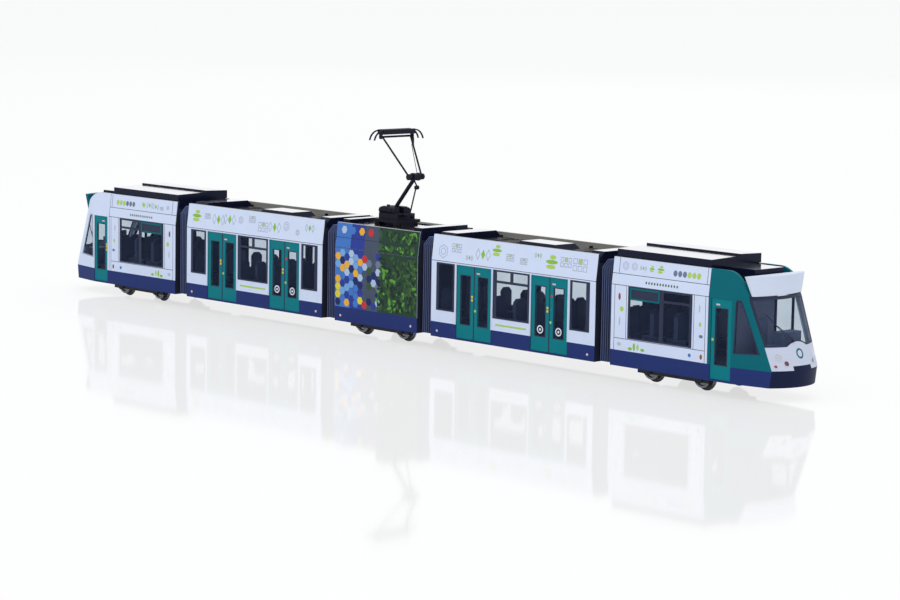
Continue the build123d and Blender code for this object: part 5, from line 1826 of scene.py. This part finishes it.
@dataclass
class RunningGear:
    """Wheelsets and bellows."""

    axles: tuple[float, ...] = tuple(middle + dx for middle in BOGIES for dx in (-AXLE_OFFSET, AXLE_OFFSET))
    face_y: float = 9.1
    hub: tuple[tuple[float, float], ...] = ((1.5, 0.0), (1.4, 0.22), (0.95, 0.3))

    def hubs(self, x: float) -> Surface:
        """Raised hubs on the faces of both wheels of the axle at x."""
        return Surface.joined(Shape.turned(self.hub, (x, way * self.face_y, AXLE_Z), (0, way, 0), 20)
                              for way in (-1, 1))

    def build(self) -> None:
        """Makes the pieces and dresses the gear."""
        for number, x in enumerate(self.axles, start=1):
            wheelset = f"wheelset_{number}"
            dress({wheelset: Finishes.wheel})
            show(f"{wheelset}_hubs", wheelset, self.hubs(x), Finishes.metal, smooth=True)
        dress({f"bellows_{number}": Finishes.bellows for number in range(1, 5)})


@dataclass
class Pantograph:
    """Springs, insulator sheds, sill, levelling rod and strips of the pantograph.

    Knee and head are X and Z of their pins. The can is a spring's place across, height and radius. The rod's
    ends are offsets from the pins, with Y from the middle.
    """

    knee: tuple[float, float] = (4.8, 54.8)
    head: tuple[float, float] = (-4.9, 67.9)
    can: tuple[float, float, float] = (3.0, 42.75, 1.05)
    spring_start: float = -8.4
    spring_length: float = 6.0
    spring_turns: int = 13
    spring_gap: float = 0.1
    wire_radius: float = 0.14
    deck_z: float = 38.0
    insulators_x: tuple[float, float] = (-9.1, 0.3)
    insulator_y: float = 4.2
    shed: tuple[tuple[float, float], ...] = (
        (0.92, 0.02), (1.25, 0.12), (0.95, 0.3), (1.25, 0.42), (0.95, 0.6), (1.2, 0.72), (0.92, 0.88))
    rod_start: tuple[float, float, float] = (-0.4, 1.1, 1.1)
    rod_end: tuple[float, float, float] = (0.6, 6.5, -3.0)
    rod_radius: float = 0.11
    sill_box: tuple[float, ...] = (-10.0, 1.2, -3.1, 3.1, 38.02, 38.88)
    strip_x: float = 1.2
    strip_half: tuple[float, float] = (0.4, 7.2)
    strip_heights: tuple[float, float] = (70.3, 70.42)

    def springs(self) -> Surface:
        """Two coil springs round the base's cans: a circle that turns evenly while it runs along X.

        Returns:
            The springs.
        """
        share = np.linspace(0.0, 1.0, 260)
        turn = 2 * np.pi * self.spring_turns * share
        x = self.spring_start + self.spring_length * share
        y, z, can_radius = self.can
        radius = can_radius + self.spring_gap
        paths = [np.stack([x, way * y + radius * np.cos(turn), z + radius * np.sin(turn)], axis=-1)
                 for way in (-1, 1)]
        return Surface.joined(Shape.tube(path, self.wire_radius, 6) for path in paths)

    def sheds(self) -> Surface:
        """Ribbed sheds round the four insulators."""
        return Surface.joined(Shape.turned(self.shed, (x, y, self.deck_z), (0, 0, 1), 20)
                              for x in self.insulators_x for y in (-self.insulator_y, self.insulator_y))

    def levelling_rod(self) -> Surface:
        """Thin rod inside the upper arm from the knee to the head's lever.

        Returns:
            The rod.
        """
        share = np.linspace(0.0, 1.0, 6)[:, None]
        start = np.array([self.knee[0], 0.0, self.knee[1]]) + self.rod_start
        end = np.array([self.head[0], 0.0, self.head[1]]) + self.rod_end
        return Shape.tube(start + share * (end - start), self.rod_radius, 8)

    def sill(self) -> Surface:
        """Dark block between the insulators, under the base plate."""
        return Shape.boxes([self.sill_box])

    def strips(self) -> Surface:
        """Contact strips along the tops of the collector's bars.

        Returns:
            The strips.
        """
        wide, deep = self.strip_half
        middles = [self.head[0] + way * self.strip_x for way in (-1, 1)]
        return Shape.boxes([(x - wide, x + wide, -deep, deep, *self.strip_heights) for x in middles])

    def build(self) -> None:
        """Makes the pieces and dresses the pantograph."""
        nodes = ("base", "lower_arm", "upper_arm", "tie_rod", "head")
        dress({node: Finishes.pantograph for node in nodes}, "pantograph_")
        show("pantograph_springs", "centre", self.springs(), Finishes.steel, smooth=True)
        show("pantograph_sheds", "centre", self.sheds(), Finishes.brown, smooth=True)
        show("pantograph_sill", "centre", self.sill(), Finishes.pantograph)
        show("pantograph_levelling_rod", "pantograph_upper_arm", self.levelling_rod(), Finishes.pantograph,
             smooth=True)
        show("pantograph_strips", "pantograph_head", self.strips(), Finishes.copper)


@dataclass
class Studio:
    """White studio: floor, soft lamps and the camera at the photo's place.

    The eye is in millimetres and angles are in degrees; the floor's sizes are in metres.
    """

    eye: tuple[float, float, float] = (707.2, -657.6, 134.6)
    yaw: float = 46.15
    pitch: float = 7.2
    roll: float = 0.97
    lens: float = 114.23
    floor_half: float = 40.0
    floor_z: float = -0.0002
    floor_glow: float = 0.8
    floor_mirror: float = 0.16
    steep: float = 0.95

    def clear(self) -> None:
        """Removes what the empty file brings along."""
        own = set(frame["nodes"].values()) | set(frame["bodies"].values())
        for thing in list(bpy.data.objects):
            if thing not in own and thing.type in {"MESH", "LIGHT", "CAMERA"}:
                bpy.data.objects.remove(thing)

    def floor(self) -> None:
        """Lays the plain pale floor."""
        far, z = self.floor_half, self.floor_z
        mesh = bpy.data.meshes.new("studio_floor")
        mesh.from_pydata([(-far, -far, z), (far, -far, z), (far, far, z), (-far, far, z)], [], [(0, 1, 2, 3)])
        finish = bpy.data.materials.new("studio_floor")
        finish.use_nodes = True
        net = NodeTree(finish.node_tree)
        net.tree.nodes.clear()
        matt = net.add("ShaderNodeBsdfDiffuse", Color=(0.9, 0.91, 0.92, 1.0))
        glow = net.add("ShaderNodeEmission", Color=(1.0, 1.0, 1.0, 1.0), Strength=1.0)
        mirror = net.add("ShaderNodeBsdfGlossy", Color=(1.0, 1.0, 1.0, 1.0), Roughness=0.06)
        seen = net.math("MULTIPLY", net.add("ShaderNodeLightPath").outputs["Is Camera Ray"], self.floor_glow)
        plain = net.add("ShaderNodeMixShader", i0=seen, i1=matt.outputs[0], i2=glow.outputs[0])
        mixed = net.add("ShaderNodeMixShader", i0=self.floor_mirror, i1=plain.outputs[0],
                        i2=mirror.outputs[0])
        out = net.add("ShaderNodeOutputMaterial")
        net.tree.links.new(mixed.outputs[0], out.inputs["Surface"])
        mesh.materials.append(finish)
        ground = bpy.data.objects.new("studio_floor", mesh)
        bpy.context.scene.collection.objects.link(ground)

    def lamp(self, name: str, place: Sequence[float], size: float, power: float) -> None:
        """Adds a soft square lamp that looks at the tram.

        Args:
            name: its name.
            place: its place in metres.
            size: its side in metres.
            power: its power in watts.
        """
        data = bpy.data.lights.new(name, "AREA")
        data.shape = "SQUARE"
        data.size = size
        data.energy = power
        thing = bpy.data.objects.new(name, data)
        away = np.asarray(place) / np.linalg.norm(place)
        across = np.cross((0.0, 1.0, 0.0) if abs(away[2]) > self.steep else (0.0, 0.0, 1.0), away)
        across /= np.linalg.norm(across)
        turned = np.stack([across, np.cross(away, across), away], axis=1)
        thing.matrix_world = Matrix.LocRotScale(place, Matrix(turned.tolist()).to_quaternion(), None)
        thing.visible_glossy = False
        bpy.context.scene.collection.objects.link(thing)

    def light(self) -> None:
        """Lights the studio from all round and above."""
        world = bpy.data.worlds.new("studio")
        bpy.context.scene.world = world
        world.use_nodes = True
        net = NodeTree(world.node_tree)
        net.tree.nodes.clear()
        path = net.add("ShaderNodeLightPath").outputs
        seen = net.math("MAXIMUM", path["Is Camera Ray"], path["Is Glossy Ray"])
        soft = net.add("ShaderNodeBackground", Color=(0.96, 0.98, 1.0, 1.0), Strength=0.8)
        plain = net.add("ShaderNodeBackground", Color=(1.0, 1.0, 1.0, 1.0), Strength=1.0)
        mixed = net.add("ShaderNodeMixShader", i0=seen, i1=soft.outputs[0], i2=plain.outputs[0])
        out = net.add("ShaderNodeOutputWorld")
        net.tree.links.new(mixed.outputs[0], out.inputs["Surface"])
        self.lamp("overhead", (0.1, -0.1, 1.2), 1.0, 3.6)
        self.lamp("front", (1.2, -1.0, 0.9), 0.8, 2.2)
        self.lamp("behind", (-0.9, 1.3, 0.9), 1.2, 3.0)

    def camera(self) -> None:
        """Places the camera as the photo was taken."""
        yaw, pitch, roll = (np.radians(value) for value in (self.yaw, self.pitch, self.roll))
        forward = np.array([-np.sin(yaw) * np.cos(pitch), np.cos(yaw) * np.cos(pitch), -np.sin(pitch)])
        right = np.array([np.cos(yaw), np.sin(yaw), 0.0])
        up = np.cross(right, forward)
        across = right * np.cos(roll) + up * np.sin(roll)
        upward = up * np.cos(roll) - right * np.sin(roll)
        data = bpy.data.cameras.new("camera")
        data.sensor_width = 36.0
        data.lens = self.lens
        data.clip_start = 0.01
        data.clip_end = 200.0
        thing = bpy.data.objects.new("camera", data)
        turned = Matrix(np.stack([across, upward, -forward], axis=1).tolist())
        thing.matrix_world = Matrix.LocRotScale([v * MM for v in self.eye], turned.to_quaternion(), None)
        bpy.context.scene.collection.objects.link(thing)
        bpy.context.scene.camera = thing

    def build(self) -> None:
        """Sets up floor, lamps, camera and colour handling."""
        self.floor()
        self.light()
        self.camera()
        bpy.context.scene.view_settings.view_transform = "Standard"
        LOG.info("studio set")


def main() -> None:
    """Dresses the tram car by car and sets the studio."""
    logging.basicConfig(level=logging.INFO, format="%(name)s %(message)s")
    studio = Studio()
    studio.clear()
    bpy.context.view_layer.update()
    cars = (CabCar("cab_rear", rear=True, seed=11), SaloonCar("saloon_rear", start=-101.8, seed=21),
            CentreCar(), SaloonCar("saloon_front", start=27.4, seed=31),
            CabCar("cab_front", rear=False, seed=41))
    for section in (*cars, RunningGear(), Pantograph()):
        section.build()
        LOG.info("%s dressed", type(section).__name__)
    studio.build()


if __name__ == "__main__":
    main()
